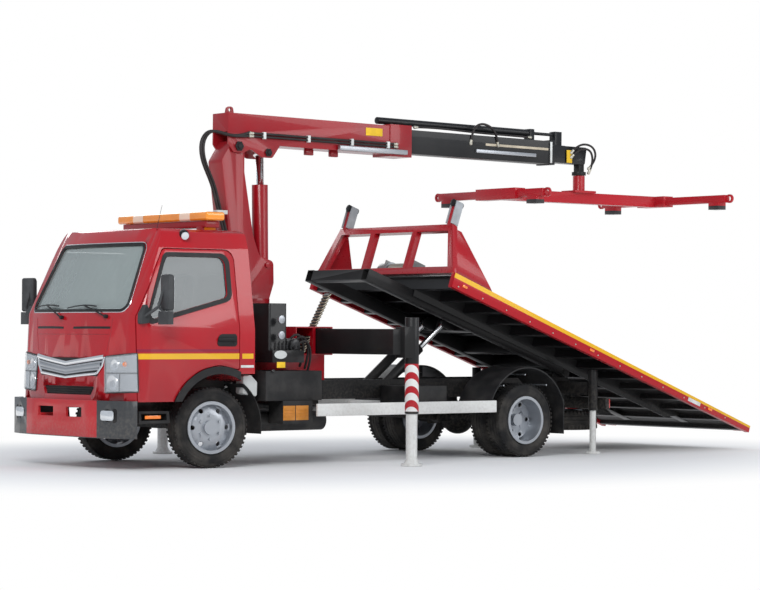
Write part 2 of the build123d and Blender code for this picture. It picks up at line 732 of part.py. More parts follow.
sleeves = []
for side in (-1, 1):
    y = side * rear_leg_y
    sleeve = rod_z(rear_leg_x, y, rear_sleeve_bottom, rear_sleeve_top, rear_leg_radius + 16)
    sleeve = sleeve - rod_z(rear_leg_x, y, rear_sleeve_bottom - 1, rear_sleeve_top - 20, rear_leg_radius
                            + bore_clearance)
    arm = block(rear_leg_x - 45, rear_leg_x + 45, side * (rail_out + 0.3), side * (rear_leg_y
                                                                                   - rear_leg_radius - 10),
                620, 760)
    sleeves.append(sleeve + arm)
for side, name in ((-1, "left"), (1, "right")):
    y = side * rear_leg_y
    leg = rod_z(rear_leg_x, y, 25, rear_sleeve_top - 30 - rear_leg_stroke, rear_leg_radius)
    leg = leg + rod_z(rear_leg_x, y, 0, 26, 80)
    keep("rear_leg_" + name, leg)

# Spare wheel lying under the rear end, on its carrier.
spare_x = wheelbase + 1550
spare_z = 330
spare = Pos(spare_x, 0, spare_z) * Rot(90, 0, 0) * tyre(-tyre_width / 2, tyre_width / 2)
spare_disc = Pos(spare_x, 0, spare_z) * Rot(90, 0, 0) * rim(-tyre_width / 2, tyre_width / 2, 0, 20)
keep("spare_wheel", spare)
keep("spare_rim", spare_disc + rod_z(spare_x, 0, spare_z - 12, spare_z + 20, hub_radius) + rod_z(spare_x,
                                                                                                 0, spare_z, 560 - seat_gap, 22))
bar_rear_x = rail_rear_x + 52
rear_bar = block(rail_rear_x + 2, bar_rear_x, -1000, 1000, 470, 590)
for side in (-1, 1):
    rear_bar = rear_bar + block(rail_rear_x + seat_gap, bar_rear_x, side * 360, side * 420, 580, 780)
rear_bar = rear_bar + block(bar_rear_x - 2, spare_x + 60, -50, 50, 560, 590)
keep("rear_bar", rear_bar, *sleeves)
tail_lamps = [block(bar_rear_x + seat_gap, bar_rear_x + 38, side * 620, side * 980, 480,
                    580) for side in (-1, 1)]
keep("rear_lamps", *tail_lamps)

# ---------------------------------------------------------------- crane base and outriggers
left_beam_x = 1610
right_beam_x = left_beam_x - beam_width - beam_gap - 2 * housing_wall
base_x0 = right_beam_x - beam_width / 2 - housing_wall - 6
base_x1 = left_beam_x + beam_width / 2 + housing_wall + 6
slide_gap = 6


def beam_hole(x):
    """Tunnel for one outrigger beam."""
    h = beam_width / 2 + slide_gap
    return block(x - h, x + h, -housing_half - 5, housing_half + 5, housing_bottom + housing_wall,
                 housing_top - housing_wall)


housing = block(base_x0, base_x1, -housing_half, housing_half, housing_bottom, housing_top)
housing = housing - beam_hole(left_beam_x) - beam_hole(right_beam_x)
for side in (-1, 1):
    housing = housing + block(880, 1700, side * (rail_half_gap + 2), side * (rail_out - 2), rail_top,
                              housing_bottom + 4)
deck_slab = block(860, base_x0 + 5, -440, 440, 985, housing_bottom)
pedestal = rod_z(slew_x, 0, 985, pedestal_top, pedestal_radius)
pedestal = pedestal - block(base_x0 + 8, base_x1 + 200, -400, 400, housing_bottom + housing_wall - 2,
                            housing_top - 8)
housing = housing + deck_slab + (pedestal - beam_hole(left_beam_x) - beam_hole(right_beam_x))
keep("crane_base", housing)

tank_block = fillet(block(640, 860, -900, -470, 1090, 1550).edges().filter_by(Axis.Z), 25)
tank_block = tank_block + block(855, 1020, -900, -540, 1090, 1215)
control = block(640, 1020, -960, -560, 985, 1100)
levers = None
for number in range(6):
    x = 690 + number * 48
    lever = rod_z(x, -940, 1098, 1190, 7)
    levers = lever if levers is None else levers + lever
tank_block = tank_block + control + levers
tank_block = tank_block + block(880, 1010, -565, -440 - seat_gap, 990, 1040)
keep("control_tank", tank_block)

beam_low = housing_bottom + housing_wall + seat_gap
beam_high = housing_top - housing_wall - slide_gap
leg_offset = beam_width / 2 + leg_radius + leg_wall - 22
for side, name, x, lean in ((-1, "left", left_beam_x, 1), (1, "right", right_beam_x, -1)):
    leg_x = x + lean * leg_offset
    y_end = side * outrigger_reach
    y_root = -side * (housing_half - 10 - outrigger_stroke)
    beam = tube_box(x - beam_width / 2, x + beam_width / 2, min(y_end, y_root), max(y_end, y_root),
                    beam_low, beam_high, 10, "Y")
    beam = beam + block(x - beam_width / 2, x + beam_width / 2, y_end, y_end - side * 12, beam_low,
                        beam_high)
    outer = leg_radius + leg_wall
    sleeve = rod_z(leg_x, y_end, leg_sleeve_bottom, leg_top, outer)
    bore = rod_z(leg_x, y_end, leg_sleeve_bottom - 1, leg_top - 25, leg_radius + bore_clearance)
    cheek = block(x, leg_x, y_end - side * 80, y_end + side * 60, beam_low - 30, beam_high + 20)
    cheek = cheek - rod_z(leg_x, y_end, 0, 2000, outer - 3)
    cheek = cheek & block(min(x, leg_x) - 200, max(x, leg_x) + 20, -3000, 3000, 0, 3000)
    keep("outrigger_beam_" + name, beam + sleeve + cheek - bore)
    leg = rod_z(leg_x, y_end, 60, leg_top - 35 - leg_stroke, leg_radius)
    foot = rod_z(leg_x, y_end, 0, 22, foot_radius)
    foot = foot + Pos(leg_x, y_end, 44) * Cone(foot_radius - 25, leg_radius, 48)
    keep("outrigger_leg_" + name, leg + foot)

# ---------------------------------------------------------------- crane column
slew_gap = 0.5
column_foot = pedestal_top + slew_gap
column_profile = [(870, column_foot), (1225, column_foot), (1300, 1760), (1295, 1975), (1120, 2030),
                  (1040, 2230), (930, 2850), (930, 3155), (785, 3155), (650, 2950), (755, 2160), (800,
                                                                                                  1750)]
column_radii = (20, 30, 60, 50, 60, 200, 120, 45, 40, 60, 200, 60)
column_half = 110
slot_half = 90
column = slab_xz(column_profile, -column_half, column_half, column_radii)
# The lift cylinder stands in a slot that is open to the rear.
slot_profile = [(1040, 1830), (1500, 1830), (1500, 3300), (900, 3300), (900, 2980), (1000, 2200)]
column = column - slab_xz(slot_profile, -slot_half, slot_half)
column = column - rod_y(boom_pivot_x, boom_pivot_z, -300, 300, boom_pin_radius + pin_clearance)
column = column + rod_y(cylinder_foot_x, cylinder_foot_z, -column_half - 22, column_half + 22, pin_radius)
turntable = rod_z(slew_x, 0, column_foot, column_foot + 60, pedestal_radius - 30)
column = column + turntable
keep("crane_column", column)

# Lift cylinder: its foot turns on the column, and its rod's eye lies between the boom's lugs.
lift_run = Vector(cylinder_head_x - cylinder_foot_x, 0, cylinder_head_z - cylinder_foot_z)
lift_dir = lift_run.normalized()


def along_lift(distance):
    """Point on the lift cylinder's axis, at a distance from its foot."""
    p = Vector(cylinder_foot_x, 0, cylinder_foot_z) + lift_dir * distance
    return (p.X, p.Y, p.Z)


barrel = bar(along_lift(30), along_lift(lift_barrel_length), lift_barrel_radius)
barrel = barrel - bar(along_lift(90), along_lift(lift_barrel_length + 5), lift_rod_radius + bore_clearance)
barrel = barrel + rod_y(cylinder_foot_x, cylinder_foot_z, -slot_half + 2, slot_half - 2, 62)
barrel = barrel - rod_y(cylinder_foot_x, cylinder_foot_z, -200, 200, pin_radius + pin_clearance)
keep("lift_barrel", barrel)
lift_length = lift_run.length
lift_rod = bar(along_lift(lift_length - 30 - lift_rod_length), along_lift(lift_length - 30),
               lift_rod_radius)
lift_rod = lift_rod + rod_y(cylinder_head_x, cylinder_head_z, -60, 60, lift_rod_radius + 2)
keep("lift_rod", lift_rod)

# ---------------------------------------------------------------- boom
boom_at = Pos(boom_pivot_x, 0, boom_pivot_z) * Rot(0, boom_slope, 0)
main = tube_box(boom_root, boom_length, -boom_half, boom_half, boom_low, boom_high, boom_wall, "X")
# The column's head stands in the boom's open root, between its cheeks.
head_room = block(boom_root - 1, 190, -boom_half + boom_wall, boom_half - boom_wall, boom_low - 1, 140)
main = main + block(boom_root, boom_root + 14, -boom_half, boom_half, boom_low, boom_high)
main = main - head_room
cheek_view = [(boom_root, boom_low + 100), (boom_root, 20), (-60, -62), (60, -62), (150, -20), (290, -95),
              (420, -95), (520, boom_low + 10), (520, boom_low + 100)]
cheek_radii = (0, 30, 40, 40, 60, 40, 40, 0, 0)
mouth = boom_length - 260
for side in (-1, 1):
    main = main + slab_xz(cheek_view, side * (boom_half - 14), side * (boom_half + 2), cheek_radii)
    main = main + block(mouth, boom_length + 30, side * (boom_half - 2), side * (boom_half + 12),
                        boom_low - 22, boom_high + 14)
    main = main + rod_y(cylinder_head_x - boom_pivot_x, cylinder_head_z - boom_pivot_z,
                        side * (boom_half - 4), side * (boom_half + 16), 34)
for low, high in ((boom_high - 2, boom_high + 14), (boom_low - 22, boom_low + 2)):
    main = main + block(mouth, boom_length + 30, -boom_half - 12, boom_half + 12, low, high)
main = main + rod_y(0, 0, -boom_half - 14, boom_half + 14, boom_pin_radius)
# Wear pads in the boom's mouth.
inner_low = boom_low + boom_wall + pad_thickness + seat_gap
inner_high = inner_low + inner_height
main = main + block(boom_length - 160, boom_length, -inner_half + 5, inner_half - 5, boom_low
                    + boom_wall - 2,
                    inner_low - seat_gap)
main = main + block(boom_length - 160, boom_length, -inner_half + 5, inner_half - 5, inner_high + seat_gap,
                    boom_high - boom_wall + 2)
# Lifting eye on top of the root.
eye_s = -20
eye_bore = 18
lift_eye = slab_xz([(eye_s - 50, boom_high - 4), (eye_s + 50, boom_high - 4), (eye_s + 35, boom_high + 72),
                    (eye_s - 35, boom_high + 72)], -12, 12, (0, 0, 30, 30))
lift_eye = lift_eye - rod_y(eye_s, boom_high + 40, -20, 20, eye_bore)
main = main + lift_eye
keep("main_boom", boom_at * main)

inner = tube_box(inner_clear + inner_stroke, inner_reach, -inner_half, inner_half, inner_low, inner_high,
                 12, "X")
collar = tube_box(inner_reach - 60, inner_reach, -inner_half - 12, inner_half + 12, inner_low - 12,
                  inner_high + 12,
                  20, "X")
tip_low = inner_low + 12 + pad_thickness + seat_gap
tip_high = tip_low + tip_height
inner = inner + collar
inner = inner + block(inner_reach - 150, inner_reach, -tip_half + 5, tip_half - 5, inner_low + 10,
                      tip_low - seat_gap)
inner = inner + block(inner_reach - 150, inner_reach, -tip_half + 5, tip_half - 5, tip_high + seat_gap,
                      inner_high - 10)
# Extension cylinder carried on top of the inner section, over the boom.
ram_z = boom_high + 14 + 6 + 36
ram_rear = boom_length - 330
ram_front = inner_reach - 225
inner = inner + block(ram_front - 85, ram_front - 20, -50, 50, inner_high - 3, ram_z + 42)
inner = inner + bar((ram_rear, 0, ram_z), (ram_front, 0, ram_z), 36)
inner = inner - bar((ram_rear + 40, 0, ram_z), (ram_front + 20, 0, ram_z), 17 + bore_clearance)
keep("boom_inner", boom_at * inner)

tip = tube_box(tip_reach - tip_overlap - tip_stroke, tip_reach, -tip_half, tip_half, tip_low, tip_high,
               10, "X")
nose_x = inner_reach + nose_lead
tip = tip + block(tip_reach - 20, nose_x - 70, -50, 50, tip_low, tip_high)
for side in (-1, 1):
    tip = tip + slab_xz([(tip_reach - 20, tip_low), (nose_x - 45, link_pin_rise - 50), (nose_x + 30,
                                                                                        link_pin_rise - 50),
                         (nose_x + 60, tip_high), (tip_reach - 20, tip_high)], side * 46, side * 62,
                        (0, 0, 20, 20, 0))
ram_rod = bar((ram_rear + 60, 0, ram_z), (inner_reach + 80, 0, ram_z), 17)
tip = tip + ram_rod + block(inner_reach + 70, inner_reach + 170, -45, 45, tip_high - 3, ram_z + 35)
tip = tip + rod_y(nose_x, link_pin_rise, -66, 66, pin_radius)
keep("boom_tip", boom_at * tip)

# The link hangs from the boom's nose; the rotator and the spreader frame turn below it.
link_z = boom_pivot_z - nose_x * sin(radians(boom_slope)) + link_pin_rise * cos(radians(boom_slope))
link_pin_x = boom_pivot_x + nose_x * cos(radians(boom_slope)) + link_pin_rise * sin(radians(boom_slope))
link_low = link_z - link_drop
link = eye(link_pin_x, link_z, -41, 41, 46, pin_radius + pin_clearance)
link = link + block(link_pin_x - 40, link_pin_x + 40, -41, 41, link_low, link_z - 36)
link = link + rod_z(link_pin_x, 0, link_low, link_low + 38, 78)
keep("link", link)

spreader_front_x = link_pin_x - spreader_front_run
spreader_rear_x = link_pin_x + spreader_rear_run
rotator_top = link_low - slide_gap
frame_top = spreader_z + spreader_beam_height / 2
rotor = rod_z(link_pin_x, 0, frame_top - 2, rotator_top, 66) + rod_z(link_pin_x, 0, rotator_top - 5,
                                                                     link_low - seat_gap, 30)
half_w = spreader_beam_width / 2
half_h = spreader_beam_height / 2
spreader = tube_box(spreader_front_x, spreader_rear_x, -half_w, half_w, spreader_z - half_h, spreader_z
                    + half_h, 8, "X")
spreader = spreader + block(link_pin_x - 160, link_pin_x + 160, -110, 110, frame_top - 2, frame_top + 22)
# Arms: middle in X, low and high end in Y, half length of the sleeve that carries them.
arms = ((spreader_front_x, -700, 970, 313), (spreader_rear_x, -1100, 820, 208))
for x, y_low, y_high, sleeve_half in arms:
    sleeve = block(x - 75, x + 75, -sleeve_half, sleeve_half, spreader_z - half_h, spreader_z + half_h)
    arm = block(x - arm_width / 2, x + arm_width / 2, y_low, y_high, spreader_z - arm_height / 2,
                spreader_z + arm_height / 2)
    spreader = spreader + sleeve + arm
    for y_end, sign in ((y_low, -1), (y_high, 1)):
        pad_y = y_end - sign * 150
        spreader = spreader + block(x - 60, x + 60, pad_y - 75, pad_y + 75, spreader_z - arm_height / 2
                                    - 75,
                                    spreader_z - arm_height / 2 + 2)
        ring = rod_x(y_end + sign * 38, spreader_z, x - 14, x + 14, 48)
        ring = ring - rod_x(y_end + sign * 38, spreader_z, x - 20, x + 20, 28)
        spreader = spreader + ring
keep("spreader_frame", spreader + rotor)

# ---------------------------------------------------------------- bed
tilt_at = Pos(tilt_pivot_x, 0, tilt_pivot_z) * Rot(0, bed_tilt, 0) * Pos(-pivot_run, 0, pivot_below_bed)
slide_pad = 5
beam_top = -slide_pad
beam_foot = beam_top - tilt_beam_height
frame_rear = pivot_run + 60
tilt_frame = None
for side in (-1, 1):
    y0, y1 = side * (tilt_frame_half - tilt_beam_width), side * tilt_frame_half
    beam = tube_box(-tilt_frame_lead, frame_rear, min(y0, y1), max(y0, y1), beam_foot, beam_top, 8, "X")
    beam = beam + rod_y(pivot_run, -pivot_below_bed, y0, y1, pin_radius + 20)
    beam = beam - rod_y(pivot_run, -pivot_below_bed, side * 300, side * 700, pin_radius + pin_clearance)
    for s in (200, 900, 1600, 2250):
        beam = beam + block(s - 60, s + 60, y0 + side * 10, y1 - side * 10, beam_top - 1, -seat_gap)
    tilt_frame = beam if tilt_frame is None else tilt_frame + beam
cross_y = tilt_frame_half - tilt_beam_width + 2
for s, half in ((-tilt_frame_lead + 40, 40), (1010, 40), (1700, 35), (2150, 35)):
    tilt_frame = tilt_frame + block(s - half, s + half, -cross_y, cross_y, beam_foot + 5, beam_top - 5)
for side in (-1, 1):
    for cheek in (-1, 1):
        y0 = side * tilt_cylinder_y + cheek * (eye_half + lug_gap)
        plate = slab_xz([(tilt_head_run - 45, -tilt_head_drop + 30), (tilt_head_run - 45,
                                                                      -tilt_head_drop - 40),
                         (tilt_head_run + 60, -tilt_head_drop - 50), (1000, beam_foot + 10), (1000,
                                                                                              beam_top - 10),
                         (tilt_head_run, beam_top - 10)], y0, y0 + cheek * lug_thick)
        tilt_frame = tilt_frame + plate
keep("tilt_frame", tilt_at * tilt_frame)

theta = radians(bed_tilt)
head_s = tilt_head_run - pivot_run
head_h = pivot_below_bed - tilt_head_drop
tilt_head = (tilt_pivot_x + head_s * cos(theta) + head_h * sin(theta),
             tilt_pivot_z - head_s * sin(theta) + head_h * cos(theta))
tilt_vector = Vector(tilt_head[0] - tilt_foot_x, 0, tilt_head[1] - tilt_foot_z)
tilt_length = tilt_vector.length
tilt_dir = tilt_vector.normalized()
barrels, rods = [], []
for side in (-1, 1):
    y = side * tilt_cylinder_y

    def along_tilt(distance):
        """Point on this tilt cylinder's axis, at a distance from its foot."""
        return (tilt_foot_x + tilt_dir.X * distance, y, tilt_foot_z + tilt_dir.Z * distance)

    body = bar(along_tilt(80), along_tilt(670), tilt_barrel_radius) + bar(along_tilt(20), along_tilt(85),
                                                                          eye_half - 3)
    body = body - bar(along_tilt(95), along_tilt(675), tilt_rod_radius + bore_clearance)
    body = body + rod_y(tilt_foot_x, tilt_foot_z, y - eye_half, y + eye_half, 46)
    body = body - rod_y(tilt_foot_x, tilt_foot_z, y - 60, y + 60, pin_radius + pin_clearance)
    barrels.append(body)
    piston = bar(along_tilt(tilt_length - tilt_rod_length), along_tilt(tilt_length - 20), tilt_rod_radius)
    rods.append(piston + rod_y(tilt_head[0], tilt_head[1], y - eye_half, y + eye_half, 38))
keep("tilt_barrels", *barrels)
keep("tilt_rods", *rods)

# Deck: plate, ribs, tapered side rails and the guides that run along the tilt frame.
plate_front = bed_rail_front - deck_inset
plate_tail = bed_rail_tail - deck_inset


def plate_height(s):
    """Top of the deck plate at a distance from the bed's front."""
    return plate_front + (plate_tail - plate_front) * s / bed_length


rail_in = bed_half - bed_rail_width
deck = slab_xz([(0, plate_front - deck_plate), (bed_length, plate_tail - deck_plate), (bed_length,
                                                                                       plate_tail),
                (0, plate_front)], -rail_in - 2, rail_in + 2)
for side in (-1, 1):
    side_rail = slab_xz([(0, 0), (bed_length, 0), (bed_length, bed_rail_tail), (0, bed_rail_front)],
                        side * rail_in, side * bed_half)
    deck = deck + side_rail
    guide_y = tilt_frame_half + slide_gap
    guide = slab_xz([(60, -70), (bed_length - 700, -70), (bed_length - 500, 10),
                     (bed_length - 500, plate_height(bed_length - 500) - 2), (60, plate_height(60) - 2)],
                    side * guide_y, side * (guide_y + 12))
    deck = deck + guide
    runner = block(60, bed_length - 300, side * (tilt_frame_half - tilt_beam_width - 10),
                   side * (guide_y + 2), 0, 10)
    deck = deck + runner
rib_pitch = (bed_length - 160) / (rib_count - 1)
for number in range(rib_count):
    s = 80 + number * rib_pitch
    deck = deck + block(s - rib_width / 2, s + rib_width / 2, -rail_in - 2, rail_in + 2, 1,
                        plate_height(s) - 4)
keep("bed_deck", tilt_at * deck)

# Headboard: trapezoid frame with posts, and gussets that lean in with its ends.
low_h = bed_rail_front
top_h = head_height
lean = atan2(rail_in + 20 - head_top_half, top_h - low_h)
board = block(0, head_tube, -rail_in, rail_in, low_h + 0.3, low_h + head_tube)
board = board + block(0, head_tube, -head_top_half, head_top_half, top_h - head_tube, top_h)
for side in (-1, 1):
    board = board + block(0, head_tube, side * 300, side * (300 + head_tube), low_h + 10, top_h - 10)
    end_post = slab_yz([(side * (rail_in + 20), low_h), (side * (rail_in - head_tube), low_h),
                        (side * (head_top_half - head_tube), top_h), (side * head_top_half, top_h)], 0,
                        head_tube)
    board = board + end_post
    lift = (16 * sin(lean) + seat_gap) / cos(lean)
    slant = [(0, low_h + lift), (560, low_h + lift), (540, low_h + 40), (130, top_h), (0, top_h)]
    plate = slab_xz(slant, side * (rail_in + 20 - 16), side * (rail_in + 20))
    turned = Pos(0, side * (rail_in + 20), low_h) * Rot(side * degrees(lean), 0, 0) * Pos(0,
                                                                                          -side * (rail_in + 20), -low_h)
    board = board + turned * plate
    # Roller cradle on the top rail.
    y = side * (head_top_half - 60)
    cradle = block(5, 65, y - 30, y + 30, top_h - 2, top_h + 210)
    cradle = cradle + rod_x(y, top_h + 230, -20, 90, 34)
    board = board + cradle
keep("headboard", tilt_at * board)

# Winch behind the headboard.
winch_s = 260
winch_h = 280
floor_h = plate_height(winch_s - 130)
winch = block(winch_s - 130, winch_s + 130, -330, 330, floor_h + seat_gap, floor_h + 24)
for y in (-215, 200):
    cheek = block(winch_s - 95, winch_s + 95, y, y + 15, floor_h + 20, winch_h + 95)
    winch = winch + (cheek - rod_y(winch_s, winch_h, y - 5, y + 20, 30 + bore_clearance))
winch = winch + rod_y(winch_s, winch_h, 215.5, 330, 88)
winch = winch + block(winch_s - 88, winch_s + 88, 217, 320, floor_h + 20, winch_h)
keep("winch_frame", tilt_at * winch)
drum = rod_y(winch_s, winch_h, -195, 195, 62)
for y in (-195, 183):
    drum = drum + rod_y(winch_s, winch_h, y, y + 12, 98)
drum = drum + rod_y(winch_s, winch_h, -214, 214, 30)
keep("winch_drum", tilt_at * drum)

# ---------------------------------------------------------------- origin and files
low_x = min(solid.bounding_box().min.X for solids in nodes.values() for solid in solids)
high_x = max(solid.bounding_box().max.X for solids in nodes.values() for solid in solids)
low_y = min(solid.bounding_box().min.Y for solids in nodes.values() for solid in solids)
high_y = max(solid.bounding_box().max.Y for solids in nodes.values() for solid in solids)
origin = (round((low_x + high_x) / 2, 3), round((low_y + high_y) / 2, 3), 0)

for name, solids in nodes.items():
    shifted = [Pos(-origin[0], -origin[1], 0) * solid for solid in solids]
    export_step(Compound(label=name, children=shifted), "parts/" + name + ".step")
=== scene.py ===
"""Finished looks of a cab-over recovery truck with a sliding bed and a loader crane.

Lengths are in metres. Pieces are drawn in the truck's own frame: X from the front axle towards
the tail, Y towards the truck's right-hand side, Z up from the ground. Side -1 is the left-hand
side and +1 the right-hand side.
"""
import json
from math import cos, pi, radians, sin, sqrt, tan

import bmesh
import bpy
from mathutils import Matrix, Vector

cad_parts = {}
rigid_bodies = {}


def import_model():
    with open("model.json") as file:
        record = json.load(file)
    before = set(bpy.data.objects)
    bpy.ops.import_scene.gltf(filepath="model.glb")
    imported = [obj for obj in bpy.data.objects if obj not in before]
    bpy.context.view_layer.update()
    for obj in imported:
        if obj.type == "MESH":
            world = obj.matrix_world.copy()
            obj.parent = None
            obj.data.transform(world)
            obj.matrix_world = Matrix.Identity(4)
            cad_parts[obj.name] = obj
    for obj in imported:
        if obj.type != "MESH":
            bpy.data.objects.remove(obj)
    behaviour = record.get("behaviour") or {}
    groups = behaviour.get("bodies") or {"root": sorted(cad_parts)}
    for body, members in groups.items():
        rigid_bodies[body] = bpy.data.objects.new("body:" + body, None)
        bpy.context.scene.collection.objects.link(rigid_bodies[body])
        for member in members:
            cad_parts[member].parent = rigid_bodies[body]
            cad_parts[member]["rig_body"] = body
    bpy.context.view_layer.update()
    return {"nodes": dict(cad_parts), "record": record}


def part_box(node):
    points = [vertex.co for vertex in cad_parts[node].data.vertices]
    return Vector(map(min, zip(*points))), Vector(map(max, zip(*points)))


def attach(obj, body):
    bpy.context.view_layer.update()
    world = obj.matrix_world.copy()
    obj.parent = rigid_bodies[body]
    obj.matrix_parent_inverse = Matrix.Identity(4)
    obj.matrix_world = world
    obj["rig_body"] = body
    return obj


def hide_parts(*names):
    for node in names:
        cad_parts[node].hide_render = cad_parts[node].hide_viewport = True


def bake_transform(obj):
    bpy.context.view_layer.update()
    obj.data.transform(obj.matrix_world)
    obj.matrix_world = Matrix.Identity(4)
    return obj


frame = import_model()
nodes = frame["nodes"]

# Both sides of the truck, as the sign of Y and as the last word of a piece's name.
both_sides = ((-1, "left"), (1, "right"))

# ---------------------------------------------------------------- sizes read from the frame
axle_low, axle_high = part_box("front_axle")
axle_x = (axle_low.x + axle_high.x) / 2
to_frame = Matrix.Translation((axle_x, 0, 0))

wheelbase_x = 3.850
wheel_z = 0.380
steer_rest_angle = radians(-10)

# Cab skin: plan arcs at the belt, raked above and below it.
belt_z = 1.440
shoulder_z = 1.300
gutter_z = 2.060
cab_half = 0.985
gutter_y = 0.868
nose_x = -1.030
nose_radius = 3.371
corner_radius = 0.170
corner_x = -0.760
corner_y = 0.815
screen_rake = (1.030 - 0.709) / (2.086 - 1.440)
nose_rake = 0.038 / 0.830

# Bed frame: origin at the bed's front edge on its underside, S along the bed.
bed_angle = radians(19.4)
bed_pivot = (4.950, 0.858)
bed_run = 2.371
bed_rise = 0.095
bed_half = 1.150
bed_length = 4.670
rail_front = 0.150
rail_tail = 0.075

# Boom frame: origin at the boom's pivot, S along the boom.
boom_angle = radians(0.4)
boom_pivot = (0.840, 3.099)


def nose(y, z):
    """X of the cab's front skin."""
    rake = screen_rake if z > belt_z else nose_rake
    side = abs(y)
    if side <= corner_y:
        return nose_x + nose_radius - sqrt(nose_radius ** 2 - y * y) + rake * (z - belt_z)
    left_over = min(side - corner_y, corner_radius)
    return corner_x - sqrt(corner_radius ** 2 - left_over ** 2) + rake * (z - belt_z)


def flank(z):
    """Distance of the cab's side skin from the middle plane."""
    return cab_half - max(0, z - shoulder_z) * (cab_half - gutter_y) / (gutter_z - shoulder_z)


def plain(x, y, z):
    """Point given in the truck's own frame."""
    return Vector((x, y, z))


def on_bed(s, y, h):
    """Point given along, across and above the bed."""
    x = bed_pivot[0] + (s - bed_run) * cos(bed_angle) + (h + bed_rise) * sin(bed_angle)
    z = bed_pivot[1] - (s - bed_run) * sin(bed_angle) + (h + bed_rise) * cos(bed_angle)
    return Vector((x, y, z))


def on_boom(s, y, w):
    """Point given along, across and above the boom's pivot."""
    x = boom_pivot[0] + s * cos(boom_angle) + w * sin(boom_angle)
    z = boom_pivot[1] - s * sin(boom_angle) + w * cos(boom_angle)
    return Vector((x, y, z))


def rail_top(s):
    """Height of the bed's side rail at a distance from its front edge."""
    return rail_front + (rail_tail - rail_front) * s / bed_length


# ---------------------------------------------------------------- finishes
class Field:
    """A value, colour or vector inside a finish. Expressions on it add their nodes."""

    def __init__(self, finish, socket):
        self.finish = finish
        self.socket = socket

    def _math(self, operation, *terms):
        return self.finish.node("ShaderNodeMath", {"operation": operation}, dict(enumerate(terms)))

    def __add__(self, other):
        return self._math("ADD", self, other)

    def __sub__(self, other):
        return self._math("SUBTRACT", self, other)

    def __rsub__(self, other):
        return self._math("SUBTRACT", other, self)

    def __mul__(self, other):
        return self._math("MULTIPLY", self, other)

    def __rmul__(self, other):
        return self._math("MULTIPLY", other, self)

    def __truediv__(self, other):
        return self._math("DIVIDE", self, other)

    def __gt__(self, other):
        return self._math("GREATER_THAN", self, other)

    def __abs__(self):
        return self._math("ABSOLUTE", self)

    def __mod__(self, other):
        return self._math("FLOORED_MODULO", self, other)

    def ramp(self, low, high):
        """0 below low, 1 above high and smooth between them."""
        return self.finish.node("ShaderNodeMapRange", {"interpolation_type": "SMOOTHSTEP"},
                                {"Value": self, "From Min": low, "From Max": high})

    def fall(self, low, high):
        """1 below low, 0 above high and smooth between them."""
        return 1 - self.ramp(low, high)


class Finish:
    """A material, with the fields that its pattern is made of."""

    def __init__(self, name):
        self.material = bpy.data.materials.new(name)
        self.material.use_nodes = True
        self.tree = self.material.node_tree
        self.tree.nodes.clear()

    def node(self, kind, settings, inputs, output=0):
        """One node: its settings first, then the values and links of its sockets."""
        made = self.tree.nodes.new(kind)
        for name, value in settings.items():
            setattr(made, name, value)
        for key, value in inputs.items():
            if isinstance(value, Field):
                self.tree.links.new(value.socket, made.inputs[key])
            else:
                made.inputs[key].default_value = value
        return Field(self, made.outputs[output]) if len(made.outputs) else None

    def place(self):
        """Position on the truck, measured from the front axle."""
        coordinates = self.node("ShaderNodeTexCoord", {}, {}, "Object")
        return self.node("ShaderNodeMapping", {"vector_type": "POINT"},
                         {"Vector": coordinates, "Location": (-axle_x, 0, 0)})

    def axes(self, vector):
        """The three parts of a vector."""
        split = self.node("ShaderNodeSeparateXYZ", {}, {"Vector": vector})
        outputs = split.socket.node.outputs
        return [Field(self, outputs[axis]) for axis in "XYZ"]

    def bed_axes(self, vector):
        """Distance along, across and above the bed."""
        x, y, z = self.axes(vector)
        run = x - bed_pivot[0]
        rise = z - bed_pivot[1]
        s = run * cos(bed_angle) - rise * sin(bed_angle) + bed_run
        h = run * sin(bed_angle) + rise * cos(bed_angle) - bed_rise
        return s, y, h

    def noise(self, vector, scale, detail=3, rough=0.5):
        """Cloudy pattern from 0 to 1."""
        return self.node("ShaderNodeTexNoise", {}, {"Vector": vector, "Scale": scale, "Detail": detail,
                                                    "Roughness": rough}, "Fac")

    def stretched(self, vector, scale):
        """The position scaled by a different amount along each axis."""
        return self.node("ShaderNodeMapping", {}, {"Vector": vector, "Scale": scale})

    def cells(self, vector, scale):
        """Distance to the nearest of scattered points."""
        return self.node("ShaderNodeTexVoronoi", {}, {"Vector": vector, "Scale": scale}, "Distance")

    def mix(self, amount, first, second):
        """Colour between two colours."""
        inputs = {"Factor": amount, 6: self.colour(first), 7: self.colour(second)}
        return self.node("ShaderNodeMix", {"data_type": "RGBA"}, inputs, 2)

    @staticmethod
    def colour(value):
        """A colour as sockets take it."""
        return value if isinstance(value, Field) else (*value, 1)

    def bump(self, height, distance, strength=1.0):
        """Normal from a height pattern."""
        return self.node("ShaderNodeBump", {}, {"Height": height, "Distance": distance, "Strength": strength})

    def surface(self, **sockets):
        """The shader itself, with constants on its own sockets."""
        inputs = {}
        for name, value in sockets.items():
            key = name.replace("_", " ").title()
            inputs[key.replace("Ior", "IOR")] = self.colour(value) if key in COLOURS else value
        shader = self.node("ShaderNodeBsdfPrincipled", {}, inputs)
        self.node("ShaderNodeOutputMaterial", {}, {"Surface": shader})
        return self.material


COLOURS = ("Base Color", "Emission Color")
dust_colour = (0.30, 0.26, 0.21)
yellow = (0.85, 0.47, 0.012)
seal_black = (0.012, 0.012, 0.013)


